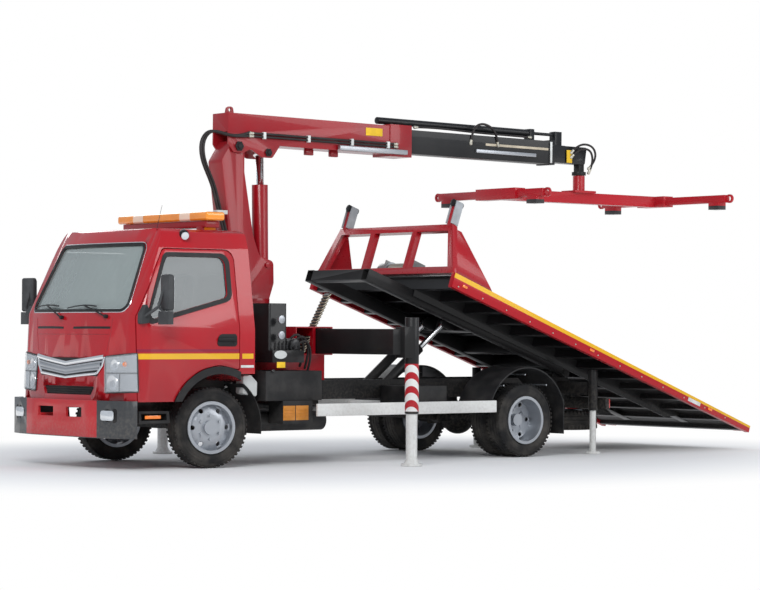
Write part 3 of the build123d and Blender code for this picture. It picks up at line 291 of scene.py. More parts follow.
def paint(name, colour, rough=0.22, coat=0.36, dust=0.25, dust_height=0.9, chips=0.0, marks=None, shine=0.3):
    """Sprayed paint: slight ripple, faded patches, road dust low down and worn chips."""
    finish = Finish(name)
    at = finish.place()
    height = finish.axes(at)[2]
    cloud = finish.noise(at, 1.7)
    grain = finish.noise(at, 38, 4)
    faded = tuple(min(1, c * 0.82 + 0.012) for c in colour)
    base = finish.mix(cloud.ramp(0.35, 0.75), colour, faded)
    if marks:
        base = marks(finish, at, base)
    low = height.fall(dust_height * 0.4, dust_height) * grain.ramp(0.35, 0.75)
    film = (low + 0.10 * cloud) * dust
    base = finish.mix(film, base, dust_colour)
    if chips:
        spots = finish.cells(at, 26).fall(0.05, 0.13) * finish.noise(at, 5).ramp(0.55, 0.66)
        base = finish.mix(spots * chips, base, (0.10, 0.085, 0.08))
    ripple = finish.noise(at, 240, 2)
    return finish.surface(base_color=base, roughness=film * 0.5 + grain * 0.08 + rough, coat_weight=coat,
                          coat_roughness=0.04, specular_ior_level=shine,
                          normal=finish.bump(ripple, 0.0006, 0.25))


def plastic(name, colour, rough=0.5, grain_scale=420, dust=0.2, marks=None):
    """Moulded plastic or rubber with a fine leather grain and dust in its hollows."""
    finish = Finish(name)
    at = finish.place()
    grain = finish.noise(at, grain_scale, 2)
    cloud = finish.noise(at, 6, 4)
    height = finish.axes(at)[2]
    pale = tuple(c * 1.7 + 0.012 for c in colour)
    base = finish.mix(cloud.ramp(0.4, 0.7) * 0.5, colour, pale)
    if marks:
        base = marks(finish, at, base)
    film = height.fall(0.3, 1.2) * cloud.ramp(0.3, 0.8) * dust
    base = finish.mix(film, base, dust_colour)
    return finish.surface(base_color=base, roughness=cloud * 0.15 + film * 0.3 + rough,
                          specular_ior_level=0.3,
                          normal=finish.bump(grain, 0.0008, 0.35))


def metal(name, colour, rough=0.3, metallic=1.0, dust=0.15, streak=(1, 1, 1)):
    """Bare or plated metal with fine drawn marks."""
    finish = Finish(name)
    at = finish.place()
    marks = finish.noise(finish.stretched(at, streak), 90, 5)
    cloud = finish.noise(at, 4)
    base = finish.mix(cloud.ramp(0.4, 0.8) * dust, colour, tuple(c * 0.55 for c in colour))
    return finish.surface(base_color=base, metallic=metallic, roughness=marks * 0.12 + cloud * 0.1 + rough,
                          normal=finish.bump(marks, 0.0004, 0.2))


# ---------------------------------------------------------------- shapes
def circle(centre, turn, radius, sides):
    """Points round a circle that lies across a turned Z axis."""
    return [centre + turn @ Vector((radius * cos(2 * pi * i / sides), radius * sin(2 * pi * i / sides), 0))
            for i in range(sides)]


class Shape:
    """A mesh under construction, in metres from the front axle."""

    def __init__(self):
        self.mesh = bmesh.new()

    def ring_faces(self, rings, closed_ends=True):
        """Skin over rings of points that have equal counts."""
        made = [[self.mesh.verts.new(p) for p in ring] for ring in rings]
        for low, high in zip(made, made[1:]):
            count = len(low)
            for i in range(count):
                j = (i + 1) % count
                self.mesh.faces.new((low[i], low[j], high[j], high[i]))
        if closed_ends:
            self.mesh.faces.new(list(reversed(made[0])))
            self.mesh.faces.new(made[-1])
        return self

    def box(self, low, high):
        """Block between two opposite corners."""
        x0, y0, z0 = low
        x1, y1, z1 = high
        base = [(x0, y0), (x1, y0), (x1, y1), (x0, y1)]
        return self.ring_faces([[(x, y, z0) for x, y in base], [(x, y, z1) for x, y in base]])

    def block_on(self, place, low, high):
        """Block in another frame, such as the bed's or the boom's."""
        a0, y0, h0 = low
        a1, y1, h1 = high
        base = [(a0, y0), (a1, y0), (a1, y1), (a0, y1)]
        return self.ring_faces([[place(a, y, h) for a, y in base] for h in (h0, h1)])

    def rod(self, start, end, radius, end_radius=None, sides=20):
        """Round bar, or a cone, between two points."""
        a, b = Vector(start), Vector(end)
        turn = (b - a).to_track_quat("Z", "Y")
        radii = (radius, radius if end_radius is None else end_radius)
        return self.ring_faces([circle(centre, turn, r, sides) for centre, r in zip((a, b), radii)])

    def lathe(self, start, end, profile, sides=32):
        """Turned form about a line; the profile gives (distance from start, radius)."""
        a, b = Vector(start), Vector(end)
        turn = (b - a).to_track_quat("Z", "Y")
        direction = (b - a).normalized()
        return self.ring_faces([circle(a + direction * along, turn, r, sides) for along, r in profile])

    def tube(self, points, radius, sides=10, flat=1.0, up=None):
        """Round or flattened tube along a line of points; flat is its thickness over its width."""
        line = [Vector(p) for p in points]
        closed = (line[0] - line[-1]).length < 1e-6
        if closed:
            line = line[:-1]
        count = len(line)
        rings = []
        side = None
        for i, point in enumerate(line):
            before = line[i - 1] if i or closed else point
            after = line[(i + 1) % count] if i + 1 < count or closed else point
            direction = (after - before).normalized()
            if up is not None:
                side = direction.cross(Vector(up)).normalized()
            elif side is None:
                side = direction.orthogonal().normalized()
            else:
                side = (side - direction * side.dot(direction)).normalized()
            other = direction.cross(side).normalized()
            rings.append([point + side * radius * cos(2 * pi * k / sides)
                          + other * radius * flat * sin(2 * pi * k / sides) for k in range(sides)])
        if closed:
            rings.append(rings[0])
        self.ring_faces(rings, not closed)
        return self

    def plate(self, outline, offset):
        """Flat or bent plate: an outline of points and the vector of its thickness."""
        shift = Vector(offset)
        low = [Vector(p) for p in outline]
        return self.ring_faces([low, [p + shift for p in low]])

    def band(self, inner, outer, offset):
        """Frame between two closed outlines with equal counts, with a thickness."""
        shift = Vector(offset)
        lifted = [Vector(p) + shift for p in outer]
        low_out = [Vector(p) for p in outer]
        low_in = [Vector(p) for p in inner]
        top_in = [Vector(p) + shift for p in inner]
        self.ring_faces([low_out, lifted, top_in, low_in, low_out], False)
        return self

    def finish(self, name, material, body, slot, bevel=0.0, smooth=38, replaces=()):
        """The finished piece: cleaned, bevelled, shaded and riding on its body."""
        bmesh.ops.remove_doubles(self.mesh, verts=self.mesh.verts, dist=1e-5)
        bmesh.ops.recalc_face_normals(self.mesh, faces=self.mesh.faces)
        data = bpy.data.meshes.new(name)
        self.mesh.to_mesh(data)
        self.mesh.free()
        data.transform(to_frame)
        return settle(name, data, material, body, slot, bevel, smooth, replaces)


def blocks(name, pairs, material, body, slot, bevel=0.0, place=plain):
    """Piece made of blocks, each between two corners that place puts on the truck."""
    shape = Shape()
    for low, high in pairs:
        shape.block_on(place, low, high)
    shape.finish(name, material, body, slot, bevel)


def shade(data, smooth):
    """Smooth shading, with creases sharper than an angle in degrees."""
    data.shade_smooth()
    data.set_sharp_from_angle(angle=radians(smooth))


def evaluated(thing):
    """A plain mesh of an object as its modifiers leave it."""
    bpy.context.view_layer.update()
    graph = bpy.context.evaluated_depsgraph_get()
    return bpy.data.meshes.new_from_object(thing.evaluated_get(graph), depsgraph=graph)


def settle(name, data, material, body, slot, bevel=0.0, smooth=38, replaces=()):
    """Put a mesh that is in the part's frame on its body, with rounded edges."""
    thing = bpy.data.objects.new(name, data)
    bpy.context.scene.collection.objects.link(thing)
    data.materials.clear()
    data.materials.append(material)
    if bevel:
        edge = thing.modifiers.new("rounding", "BEVEL")
        edge.width = bevel
        edge.segments = 2
        edge.limit_method = "ANGLE"
        edge.angle_limit = radians(35)
        edge.use_clamp_overlap = True
        thing.data = evaluated(thing)
        thing.modifiers.clear()
    shade(thing.data, smooth)
    if isinstance(body, str):
        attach(thing, body)
    else:
        # Two bodies of one joint and two points between them; the points are not used, and the piece stays
        # where it is drawn, on no body.
        to_frame @ Vector(body[2])
        to_frame @ Vector(body[3])
        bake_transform(thing)
    if replaces:
        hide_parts(*replaces)
    return thing


def merged(node, keep=None):
    """Mesh of a node with its triangles joined and its flat faces made whole."""
    mesh = bmesh.new()
    mesh.from_mesh(nodes[node].data)
    bmesh.ops.remove_doubles(mesh, verts=mesh.verts, dist=2e-5)
    if keep:
        gone = [v for v in mesh.verts if not keep(v.co.x - axle_x, v.co.y, v.co.z)]
        bmesh.ops.delete(mesh, geom=gone, context="VERTS")
    bmesh.ops.dissolve_limit(mesh, angle_limit=radians(0.6), verts=mesh.verts, edges=mesh.edges)
    data = bpy.data.meshes.new(node)
    mesh.to_mesh(data)
    mesh.free()
    return data


def dress(node, material, bevel=0.0, keep=None, name=None):
    """A node's own form with rounded edges and its finish."""
    body = nodes[node]["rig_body"]
    return settle(name or node + "_finished", merged(node, keep), material, body, slots[node], bevel,
                  replaces=(node,))


slots = {part["node"]: part["material_slot"] for part in frame["record"]["subparts"]}


def rounded(corners, radii, steps=5):
    """Flat outline with round corners, from its corners and one radius for all or one each."""
    count = len(corners)
    radii = radii if isinstance(radii, (list, tuple)) else [radii] * count
    points = []
    for i, (corner, radius) in enumerate(zip(corners, radii)):
        here = Vector(corner)
        back = (Vector(corners[i - 1]) - here).normalized()
        ahead = (Vector(corners[(i + 1) % count]) - here).normalized()
        half = back.angle(ahead) / 2
        if radius <= 0:
            points += [here] * (steps + 1)
            continue
        reach = radius / tan(half)
        start, end = here + back * reach, here + ahead * reach
        centre = here + (back + ahead).normalized() * (radius / sin(half))
        for k in range(steps + 1):
            spoke = start.lerp(end, k / steps) - centre
            points.append(centre + spoke.normalized() * radius)
    return points


def smooth_line(points, steps=8):
    """Points of a curve that runs smoothly along a few chosen points."""
    curve = bpy.data.curves.new("route", "CURVE")
    curve.dimensions = "3D"
    curve.resolution_u = steps
    spline = curve.splines.new("NURBS")
    spline.points.add(len(points) - 1)
    for place, point in zip(spline.points, points):
        place.co = (*point, 1)
    spline.order_u = 4 if len(points) > 3 else 3
    spline.use_endpoint_u = True
    holder = bpy.data.objects.new("route", curve)
    bpy.context.scene.collection.objects.link(holder)
    line = evaluated(holder)
    found = [v.co.copy() for v in line.vertices]
    bpy.data.meshes.remove(line)
    bpy.data.objects.remove(holder)
    bpy.data.curves.remove(curve)
    return found


# ---------------------------------------------------------------- repeated parts
class Tree:
    """A Geometry Nodes tree with named inputs, built node by node."""

    def __init__(self, name):
        self.group = bpy.data.node_groups.new(name, "GeometryNodeTree")
        self.group.interface.new_socket("Geometry", in_out="OUTPUT", socket_type="NodeSocketGeometry")
        self.start = self.group.nodes.new("NodeGroupInput")
        self.end = self.group.nodes.new("NodeGroupOutput")

    def size(self, name, kind="NodeSocketFloat"):
        """A named input."""
        self.group.interface.new_socket(name, in_out="INPUT", socket_type=kind)
        return self.start.outputs[name]

    def node(self, kind, settings, inputs, output=0):
        """One node: its settings first, then the values and links of its sockets."""
        made = self.group.nodes.new(kind)
        for name, value in settings.items():
            setattr(made, name, value)
        for key, value in inputs.items():
            if isinstance(value, bpy.types.NodeSocket):
                self.group.links.new(value, made.inputs[key])
            else:
                made.inputs[key].default_value = value
        return made.outputs[output]

    def result(self, geometry, material):
        """End in real meshes that carry their material."""
        real = self.node("GeometryNodeRealizeInstances", {}, {"Geometry": geometry})
        painted = self.node("GeometryNodeSetMaterial", {}, {"Geometry": real, "Material": material})
        self.group.links.new(painted, self.end.inputs["Geometry"])
        return self.group

    def mesh(self, values):
        """The tree's mesh for these values of its inputs."""
        data = bpy.data.meshes.new(self.group.name)
        holder = bpy.data.objects.new(self.group.name, data)
        bpy.context.scene.collection.objects.link(holder)
        modifier = holder.modifiers.new("repeat", "NODES")
        modifier.node_group = self.group
        for item in self.group.interface.items_tree:
            if item.in_out == "INPUT" and item.name in values:
                modifier[item.identifier] = values[item.name]
        made = evaluated(holder)
        bpy.data.objects.remove(holder)
        return made


def row_tree():
    """Copies of one piece along a straight line."""
    tree = Tree("row_of_pieces")
    count = tree.size("Count", "NodeSocketInt")
    start = tree.size("Start", "NodeSocketVector")
    pitch = tree.size("Pitch", "NodeSocketVector")
    piece = tree.size("Piece", "NodeSocketObject")
    material = tree.size("Material", "NodeSocketMaterial")
    line = tree.node("GeometryNodeMeshLine", {"mode": "OFFSET"},
                     {"Count": count, "Start Location": start, "Offset": pitch})
    shape = tree.node("GeometryNodeObjectInfo", {}, {"Object": piece}, "Geometry")
    copies = tree.node("GeometryNodeInstanceOnPoints", {}, {"Points": line, "Instance": shape})
    tree.result(copies, material)
    return tree


def ring_tree():
    """Copies of one piece round a circle that lies across the Y axis."""
    tree = Tree("ring_of_pieces")
    count = tree.size("Count", "NodeSocketInt")
    phase = tree.size("Phase")
    piece = tree.size("Piece", "NodeSocketObject")
    material = tree.size("Material", "NodeSocketMaterial")
    line = tree.node("GeometryNodeMeshLine", {"mode": "OFFSET"}, {"Count": count, "Offset": (0, 0, 0)})
    index = tree.node("GeometryNodeInputIndex", {}, {})
    share = tree.node("ShaderNodeMath", {"operation": "DIVIDE"}, {0: index, 1: count})
    turns = tree.node("ShaderNodeMath", {"operation": "ADD"}, {0: share, 1: phase})
    angle = tree.node("ShaderNodeMath", {"operation": "MULTIPLY"}, {0: turns, 1: 2 * pi})
    turn = tree.node("ShaderNodeCombineXYZ", {}, {"Y": angle})
    shape = tree.node("GeometryNodeObjectInfo", {}, {"Object": piece}, "Geometry")
    copies = tree.node("GeometryNodeInstanceOnPoints", {},
                       {"Points": line, "Instance": shape, "Rotation": turn})
    tree.result(copies, material)
    return tree


rows = row_tree()
rings = ring_tree()


def template(shape, name):
    """Object that a tree repeats; it is removed once the copies are made."""
    bmesh.ops.recalc_face_normals(shape.mesh, faces=shape.mesh.faces)
    data = bpy.data.meshes.new(name)
    shape.mesh.to_mesh(data)
    shape.mesh.free()
    thing = bpy.data.objects.new(name, data)
    bpy.context.scene.collection.objects.link(thing)
    return thing


def repeat(tree, shape, name, material, turn=Matrix.Identity(4), **values):
    """Mesh of a tree's copies of a shape, turned and moved into the part's frame."""
    pattern = template(shape, name + "_pattern")
    data = tree.mesh({"Piece": pattern, "Material": material, **values})
    bpy.data.objects.remove(pattern)
    data.transform(to_frame @ turn)
    return data


# ---------------------------------------------------------------- finishes of this truck
cab_red = (0.46, 0.0005, 0.009)
crane_red = (0.34, 0.0005, 0.008)
bed_red = (0.44, 0.003, 0.012)


def door_marks(finish, at, base):
    """Yellow stripe along the door with a dark line above it."""
    x, y, z = finish.axes(at)
    line = z.ramp(1.087, 1.090) * z.fall(1.112, 1.115)
    stripe = z.ramp(1.020, 1.022) * z.fall(1.072, 1.074)
    base = finish.mix(line * 0.55, base, (0.16, 0.004, 0.05))
    return finish.mix(stripe, base, yellow)


def shell_marks(finish, at, base):
    """The stripe's short end on the rear corner."""
    x, y, z = finish.axes(at)
    stripe = z.ramp(1.022, 1.024) * z.fall(1.070, 1.072) * x.ramp(0.262, 0.264) * x.fall(0.392, 0.394)
    return finish.mix(stripe * (abs(y) > 0.97), base, yellow)


def bumper_marks(finish, at, base):
    """Grey moulded ends and lower lip of the bumper."""
    x, y, z = finish.axes(at)
    ends = abs(y).ramp(0.598, 0.601)
    low = z.fall(0.300, 0.304)
    return finish.mix(1 - (1 - ends) * (1 - low), base, (0.045, 0.048, 0.052))


def deck_marks(finish, at, base):
    """Red side rails with a yellow stripe along their upper part."""
    s, y, h = finish.bed_axes(at)
    rail = abs(y).ramp(1.0885, 1.0895)
    top = s * ((rail_tail - rail_front) / bed_length) + rail_front
    share = h / top
    base = finish.mix(rail, base, bed_red)
    stripe = rail * share.ramp(0.66, 0.675) * (abs(y) > 1.147)
    return finish.mix(stripe, base, yellow)


def head_marks(finish, at, base):
    """The stripe's run along the foot of the gussets."""
    s, y, h = finish.bed_axes(at)
    top = s * ((rail_tail - rail_front) / bed_length) + rail_front
    stripe = (h - top).fall(0.0, 0.004) * (abs(y) > 1.10)
    return finish.mix(stripe, base, yellow)


def lens_marks(finish, at, base):
    """Clear windows between the amber ones."""
    x, y, z = finish.axes(at)
    clear = abs(y).ramp(0.30, 0.31) * abs(y).fall(0.47, 0.48)
    return finish.mix(clear * 0.7, base, (0.85, 0.80, 0.70))


def pad_marks(finish, at, base):
    """Dark rubber pads under the spreader frame."""
    x, y, z = finish.axes(at)
    return finish.mix(z.fall(2.692, 2.696), base, (0.03, 0.03, 0.032))


def foot_marks(finish, at, base):
    """Red lower half of a leg's sleeve, with slanting white bands."""
    x, y, z = finish.axes(at)
    slant = ((z + x * 0.8 + y * 0.8) * 7.5) % 1
    bands = slant.ramp(0.47, 0.5) * z.ramp(0.52, 0.525) * z.fall(0.975, 0.98)
    red_band = z.ramp(0.52, 0.525) * z.fall(0.975, 0.98)
    sleeve = abs(y).ramp(1.615, 1.617)
    base = finish.mix(red_band * sleeve, base, (0.45, 0.01, 0.02))
    return finish.mix(bands * sleeve, base, (0.8, 0.8, 0.78))


cab_paint = paint("cab_red_gloss", cab_red, 0.16, 0.54, 0.12, 0.7, marks=shell_marks)
door_paint = paint("door_red_gloss", cab_red, 0.16, 0.54, 0.12, 0.7, marks=door_marks)
crane_paint = paint("crane_red", crane_red, 0.26, 0.3, 0.1, 0.6, chips=0.35)
head_paint = paint("headboard_red", bed_red, 0.24, 0.3, 0.12, 0.6, chips=0.3, marks=head_marks)
bright_red = paint("spreader_red", (0.50, 0.006, 0.016), 0.3, 0.21, 0.1, 0.6, chips=0.45, marks=pad_marks)
deck_paint = paint("deck_black_and_red", (0.008, 0.008, 0.009), 0.35, 0.15, 0.08, 0.9, chips=0.2,
                   marks=deck_marks, shine=0.22)
black_paint = paint("frame_black", (0.007, 0.007, 0.008), 0.40, 0.06, 0.16, 1.0, chips=0.15, shine=0.2)
boom_black = paint("boom_black", (0.009, 0.010, 0.012), 0.3, 0.15, 0.06, 0.5, chips=0.25, shine=0.22)
leg_black = paint("leg_sleeve_black", (0.008, 0.008, 0.009), 0.35, 0.12, 0.15, 0.9, chips=0.2,
                  marks=foot_marks, shine=0.22)
tank_black = paint("tank_black", (0.008, 0.008, 0.009), 0.3, 0.15, 0.08, 0.8, shine=0.22)
bumper_paint = paint("bumper_red_and_grey", (0.55, 0.012, 0.02), 0.25, 0.3, 0.2, 0.7, marks=bumper_marks)
white_paint = paint("leg_white", (0.74, 0.74, 0.72), 0.3, 0.18, 0.25, 0.6)
guard_white = paint("guard_white", (0.80, 0.80, 0.78), 0.35, 0.12, 0.35, 0.75)
winch_paint = paint("winch_grey", (0.24, 0.25, 0.25), 0.35, 0.18, 0.15, 0.9, chips=0.4)
black_plastic = plastic("moulded_black", (0.011, 0.011, 0.012), 0.45, dust=0.08)
grey_plastic = plastic("moulded_grey", (0.045, 0.047, 0.050), 0.5, dust=0.1)
box_plastic = plastic("box_grey", (0.014, 0.014, 0.015), 0.45, dust=0.1)
rubber = plastic("tyre_rubber", (0.012, 0.012, 0.013), 0.72, 260, 0.18)
seal_rubber = plastic("seal_rubber", seal_black, 0.4, 600, 0.0)
hose_rubber = plastic("hose_rubber", (0.022, 0.018, 0.018), 0.42, 500, 0.1)
cloth = plastic("seat_cloth", (0.05, 0.05, 0.055), 0.85, 900, 0.0)
silver = metal("wheel_silver", (0.44, 0.46, 0.49), 0.30, 0.85)
polished = metal("polished_rod", (0.82, 0.83, 0.84), 0.10, 1.0, 0.08, (1, 1, 12))
chrome = metal("chrome_trim", (0.85, 0.86, 0.88), 0.06, 1.0, 0.05)
zinc = metal("zinc_fittings", (0.60, 0.58, 0.50), 0.35, 0.9, 0.3)
iron = metal("cast_iron", (0.10, 0.095, 0.09), 0.6, 0.6, 0.5)


def lens(name, colour, rough=0.06, ribs=0.0, painted_glow=0.0, marks=None, metallic=0.0):
    """Moulded lens with fine ribs inside it, and a faint painted glow of its own colour though no lamp shines
    behind it.
    """
    finish = Finish(name)
    at = finish.place()
    x, y, z = finish.axes(at)
    lines = ((y * 55) % 1 - 0.5)
    cloud = finish.noise(at, 9)
    base = finish.mix(cloud.ramp(0.3, 0.8) * 0.5, colour, tuple(c * 0.7 for c in colour))
    if marks:
        base = marks(finish, at, base)
    # The emission is painted light: a faint glow in the lens's colour with no lit lamp behind it.
    return finish.surface(base_color=base, metallic=metallic, roughness=cloud * 0.06 + rough, coat_weight=1.0,
                          coat_roughness=0.02, emission_color=base, emission_strength=painted_glow,
                          normal=finish.bump(abs(lines), 0.002, ribs))


def pane(name, colour, alpha, foot=None):
    """Window glass: tinted, with faint smears; opaque below foot if that is given. A pale colour also paints
    the glass's reflection into it.
    """
    finish = Finish(name)
    at = finish.place()
    x, y, z = finish.axes(at)
    smear = finish.noise(finish.stretched(at, (1, 3, 1)), 3, 4)
    cover = smear.ramp(0.35, 0.8) * 0.10 + alpha
    if foot:
        cover = cover + z.fall(foot, foot + 0.012)
    finish.material.surface_render_method = "DITHERED"
    return finish.surface(base_color=finish.mix(smear, colour, tuple(c * 0.6 for c in colour)),
                          roughness=smear * 0.03 + 0.01, alpha=cover.ramp(0, 1) if foot else cover,
                          coat_weight=1.0, coat_roughness=0.01)


# The windscreen's pale greyish-green over half its cover is its green tint together with a painted reflection
# of the bright surroundings.
screen_glass = pane("windscreen_glass", (0.50, 0.58, 0.57), 0.52, 1.480)
door_glass = pane("door_glass", (0.07, 0.10, 0.11), 0.72)
# The fifth number of amber_lens, marker_amber and red_lens is a painted glow; marker_amber also colours the
# sill reflector, which is no lamp.
amber_lens = lens("amber_lens", (0.90, 0.30, 0.02), 0.08, 0.5, 0.12, lens_marks)
marker_amber = lens("marker_amber", (0.95, 0.22, 0.01), 0.08, 0.4, 0.1)
red_lens = lens("red_lens", (0.55, 0.01, 0.01), 0.1, 0.4, 0.05)
clear_lens = lens("clear_lens", (0.72, 0.75, 0.78), 0.08, 0.15, 0.0, metallic=0.55)
reflector = lens("lamp_reflector", (0.72, 0.74, 0.76), 0.12, 0.3, metallic=0.8)
clear_cover = pane("lamp_cover", (0.80, 0.84, 0.88), 0.16)
white_plastic = plastic("white_plastic", (0.62, 0.64, 0.63), 0.4, 300, 0.25)
yellow_plate = plastic("blank_yellow", (0.80, 0.50, 0.02), 0.4, 300, 0.1)
pale_grey = plastic("pale_grey_lever", (0.33, 0.35, 0.37), 0.4, 300, 0.1)
amber_case = plastic("amber_case", (0.55, 0.20, 0.015), 0.35, 120, 0.25)
beige = plastic("beige_strip", (0.50, 0.44, 0.34), 0.5, 300, 0.1)

# Node, its finish and the rounding of its edges; %s stands for the left and then the right node.
dressed = (
    ("cab_shell", cab_paint, 0.0), ("door_%s", door_paint, 0.004), ("cab_trim", black_plastic, 0.0),
    ("door_glass_%s", door_glass, 0.0), ("cab_glass", screen_glass, 0.0), ("mirror_%s", grey_plastic, 0.0),
    ("light_bar", amber_lens, 0.0), ("front_bumper", bumper_paint, 0.005),
    ("chassis_frame", black_paint, 0.0), ("front_axle", black_paint, 0.006), ("rear_axle", black_paint, 0.0),
    ("engine_block", iron, 0.02), ("side_boxes", box_plastic, 0.012), ("side_guards", guard_white, 0.006),
    ("rear_fenders", black_plastic, 0.004), ("rear_bar", black_paint, 0.004), ("rear_lamps", red_lens, 0.006),
    ("spare_rim", silver, 0.0), ("crane_base", crane_paint, 0.005), ("control_tank", tank_black, 0.010),
    ("crane_column", crane_paint, 0.006), ("lift_barrel", crane_paint, 0.006), ("lift_rod", polished, 0.0),
    ("main_boom", crane_paint, 0.005), ("boom_inner", boom_black, 0.004), ("boom_tip", boom_black, 0.003),
    ("link", black_paint, 0.004), ("tilt_frame", black_paint, 0.004), ("tilt_barrels", black_paint, 0.004),
    ("tilt_rods", polished, 0.0), ("bed_deck", deck_paint, 0.003), ("headboard", head_paint, 0.005),
    ("winch_frame", winch_paint, 0.004), ("winch_drum", silver, 0.0), ("spreader_frame", bright_red, 0.005),
    ("knuckle_%s", black_paint, 0.0), ("outrigger_beam_%s", leg_black, 0.004),
    ("outrigger_leg_%s", white_paint, 0.004), ("rear_leg_%s", white_paint, 0.004),
    ("front_rim_%s", silver, 0.0), ("rear_rims_%s", silver, 0.0),
)
for pattern, finish_used, edge_width in dressed:
    for node in [pattern % name for side, name in both_sides] if "%s" in pattern else [pattern]:
        dress(node, finish_used, edge_width)


# ---------------------------------------------------------------- cab
def dense(points, step=0.04, closed=True):
    """A line of points with more points along its straight runs."""
    line = [Vector(p) for p in points]
    ends = line[1:] + [line[0]] if closed else line[1:]
    made = []
    for start, end in zip(line, ends):
        parts = max(1, int((end - start).length / step))
        made += [start.lerp(end, k / parts) for k in range(parts)]
    made.append(line[0] if closed else line[-1])
    return made


def on_nose(points, lift):
    """Points given by Y and Z, laid on the cab's front skin."""
    return [Vector((nose(p[0], p[1]) - lift, p[0], p[1])) for p in points]


def on_side(points, side, lift):
    """Points given by X and Z, laid on the cab's flank."""
    return [Vector((p[0], side * (flank(p[1]) + lift), p[1])) for p in points]


def nose_shell(shape, corners, lift, thick, across=14, upward=5):
    """Plate that follows the front skin inside four corners given by Y and Z."""
    a, b, c, d = [Vector(p) for p in corners]
    sheets = []
    for height in (lift, lift + thick):
        sheet = []
        for j in range(upward + 1):
            row = []
            for i in range(across + 1):
                p = a.lerp(b, i / across).lerp(d.lerp(c, i / across), j / upward)
                row.append(shape.mesh.verts.new((nose(p[0], p[1]) - height, p[0], p[1])))
            sheet.append(row)
        sheets.append(sheet)
    low, high = sheets
    for sheet in sheets:
        for j in range(upward):
            for i in range(across):
                shape.mesh.faces.new((sheet[j][i], sheet[j][i + 1], sheet[j + 1][i + 1], sheet[j + 1][i]))
    for j in (0, upward):
        for i in range(across):
            shape.mesh.faces.new((low[j][i], low[j][i + 1], high[j][i + 1], high[j][i]))
    for i in (0, across):
        for j in range(upward):
            shape.mesh.faces.new((low[j][i], low[j + 1][i], high[j + 1][i], high[j][i]))
    return shape


def nose_bead(shape, points, lift, radius, sides, flat, step=0.04, closed=False):
    """Flattened bead along points given by Y and Z, laid on the cab's front skin."""
    shape.tube(on_nose(dense(points, step, closed), lift), radius, sides, flat, (1, 0, 0))


screen_outline = rounded([(-0.795, 1.465), (0.795, 1.465), (0.690, 2.086), (-0.690, 2.086)], 0.07)
window_outline = rounded([(-0.800, 1.375), (0.120, 1.600), (0.120, 1.975), (-0.545, 1.975)],
                         (0.04, 0.06, 0.08, 0.07))
window_frame = rounded([(-0.850, 1.322), (0.172, 1.572), (0.172, 2.012), (-0.572, 2.012)],
                       (0.05, 0.09, 0.10, 0.08))


def windscreen_seal():
    """Rubber seal round the windscreen, a pale lip outside it and the same seal behind."""
    shape = Shape()
    nose_bead(shape, screen_outline, 0.002, 0.017, 8, 0.5, closed=True)
    rear = rounded([(-0.560, 1.520), (0.560, 1.520), (0.560, 1.960), (-0.560, 1.960)], 0.06)
    shape.tube([Vector((0.412, p[0], p[1])) for p in dense(rear)], 0.016, 8, 0.5, (1, 0, 0))
    shape.finish("window_seals", seal_rubber, "cab", "black_plastic")
    lip = Shape()
    wide = rounded([(-0.820, 1.452), (0.820, 1.452), (0.711, 2.104), (-0.711, 2.104)], 0.085)
    nose_bead(lip, wide, 0.001, 0.005, 6, 0.6, closed=True)
    lip.finish("windscreen_lip", chrome, "cab", "chrome_bar")


def wipers():
    """Two wiper arms with their blades, parked along the foot of the windscreen."""
    # Pivot, arm's end, blade's ends: each by Y and Z on the front skin.
    places = (((0.104, 1.407), (0.455, 1.523), (0.700, 1.500), (0.215, 1.512)),
              ((-0.567, 1.416), (-0.220, 1.518), (0.035, 1.492), (-0.402, 1.508)))
    shape = Shape()
    for pivot, elbow, blade_a, blade_b in places:
        root, end = on_nose([pivot, elbow], 0.030)
        middle = (root + end) / 2 + Vector((-0.014, 0, 0.010))
        shape.tube([root, middle, end], 0.008, 8, 0.6)
        shape.lathe(root + Vector((0.035, 0, -0.004)), root + Vector((-0.012, 0, 0)),
                    [(0, 0.016), (0.028, 0.020), (0.040, 0.014)], 16)
        blade = on_nose([blade_a, blade_b], 0.020)
        middle = on_nose([elbow], 0.026)[0]
        shape.tube([blade[0], (blade[0] + middle) / 2 + Vector((-0.006, 0, 0.004)), middle,
                    (blade[1] + middle) / 2 + Vector((-0.006, 0, 0.004)), blade[1]], 0.009, 6, 0.5)
    shape.finish("wipers", black_plastic, "cab", "black_plastic")


def nose_trim():
    """Cowl slots, the two panel creases and the seam across the front panel, the last three in a darker red
    that paints the shade along them.
    """
    cowl = Shape()
    for side in (-1, 1):
        line = [(side * 0.085, 1.307), (side * 0.30, 1.310), (side * 0.615, 1.309)]
        nose_bead(cowl, line, -0.001, 0.012, 8, 0.35)
    cowl.finish("cowl_slots", seal_rubber, "cab", "black_plastic")
    creases = Shape()
    for side in (-1, 1):
        fold = [(side * 0.640, 1.400), (side * 0.625, 1.250), (side * 0.580, 1.090)]
        nose_bead(creases, fold, -0.0015, 0.006, 6, 0.6)
    nose_bead(creases, [(-0.605, 1.247), (0.605, 1.247)], -0.0015, 0.005, 6, 0.6)
    # The crease and seam beads take the darker crane red: painted shade along the folds.
    creases.finish("front_panel_seams", crane_paint, "cab", "cab_paint")


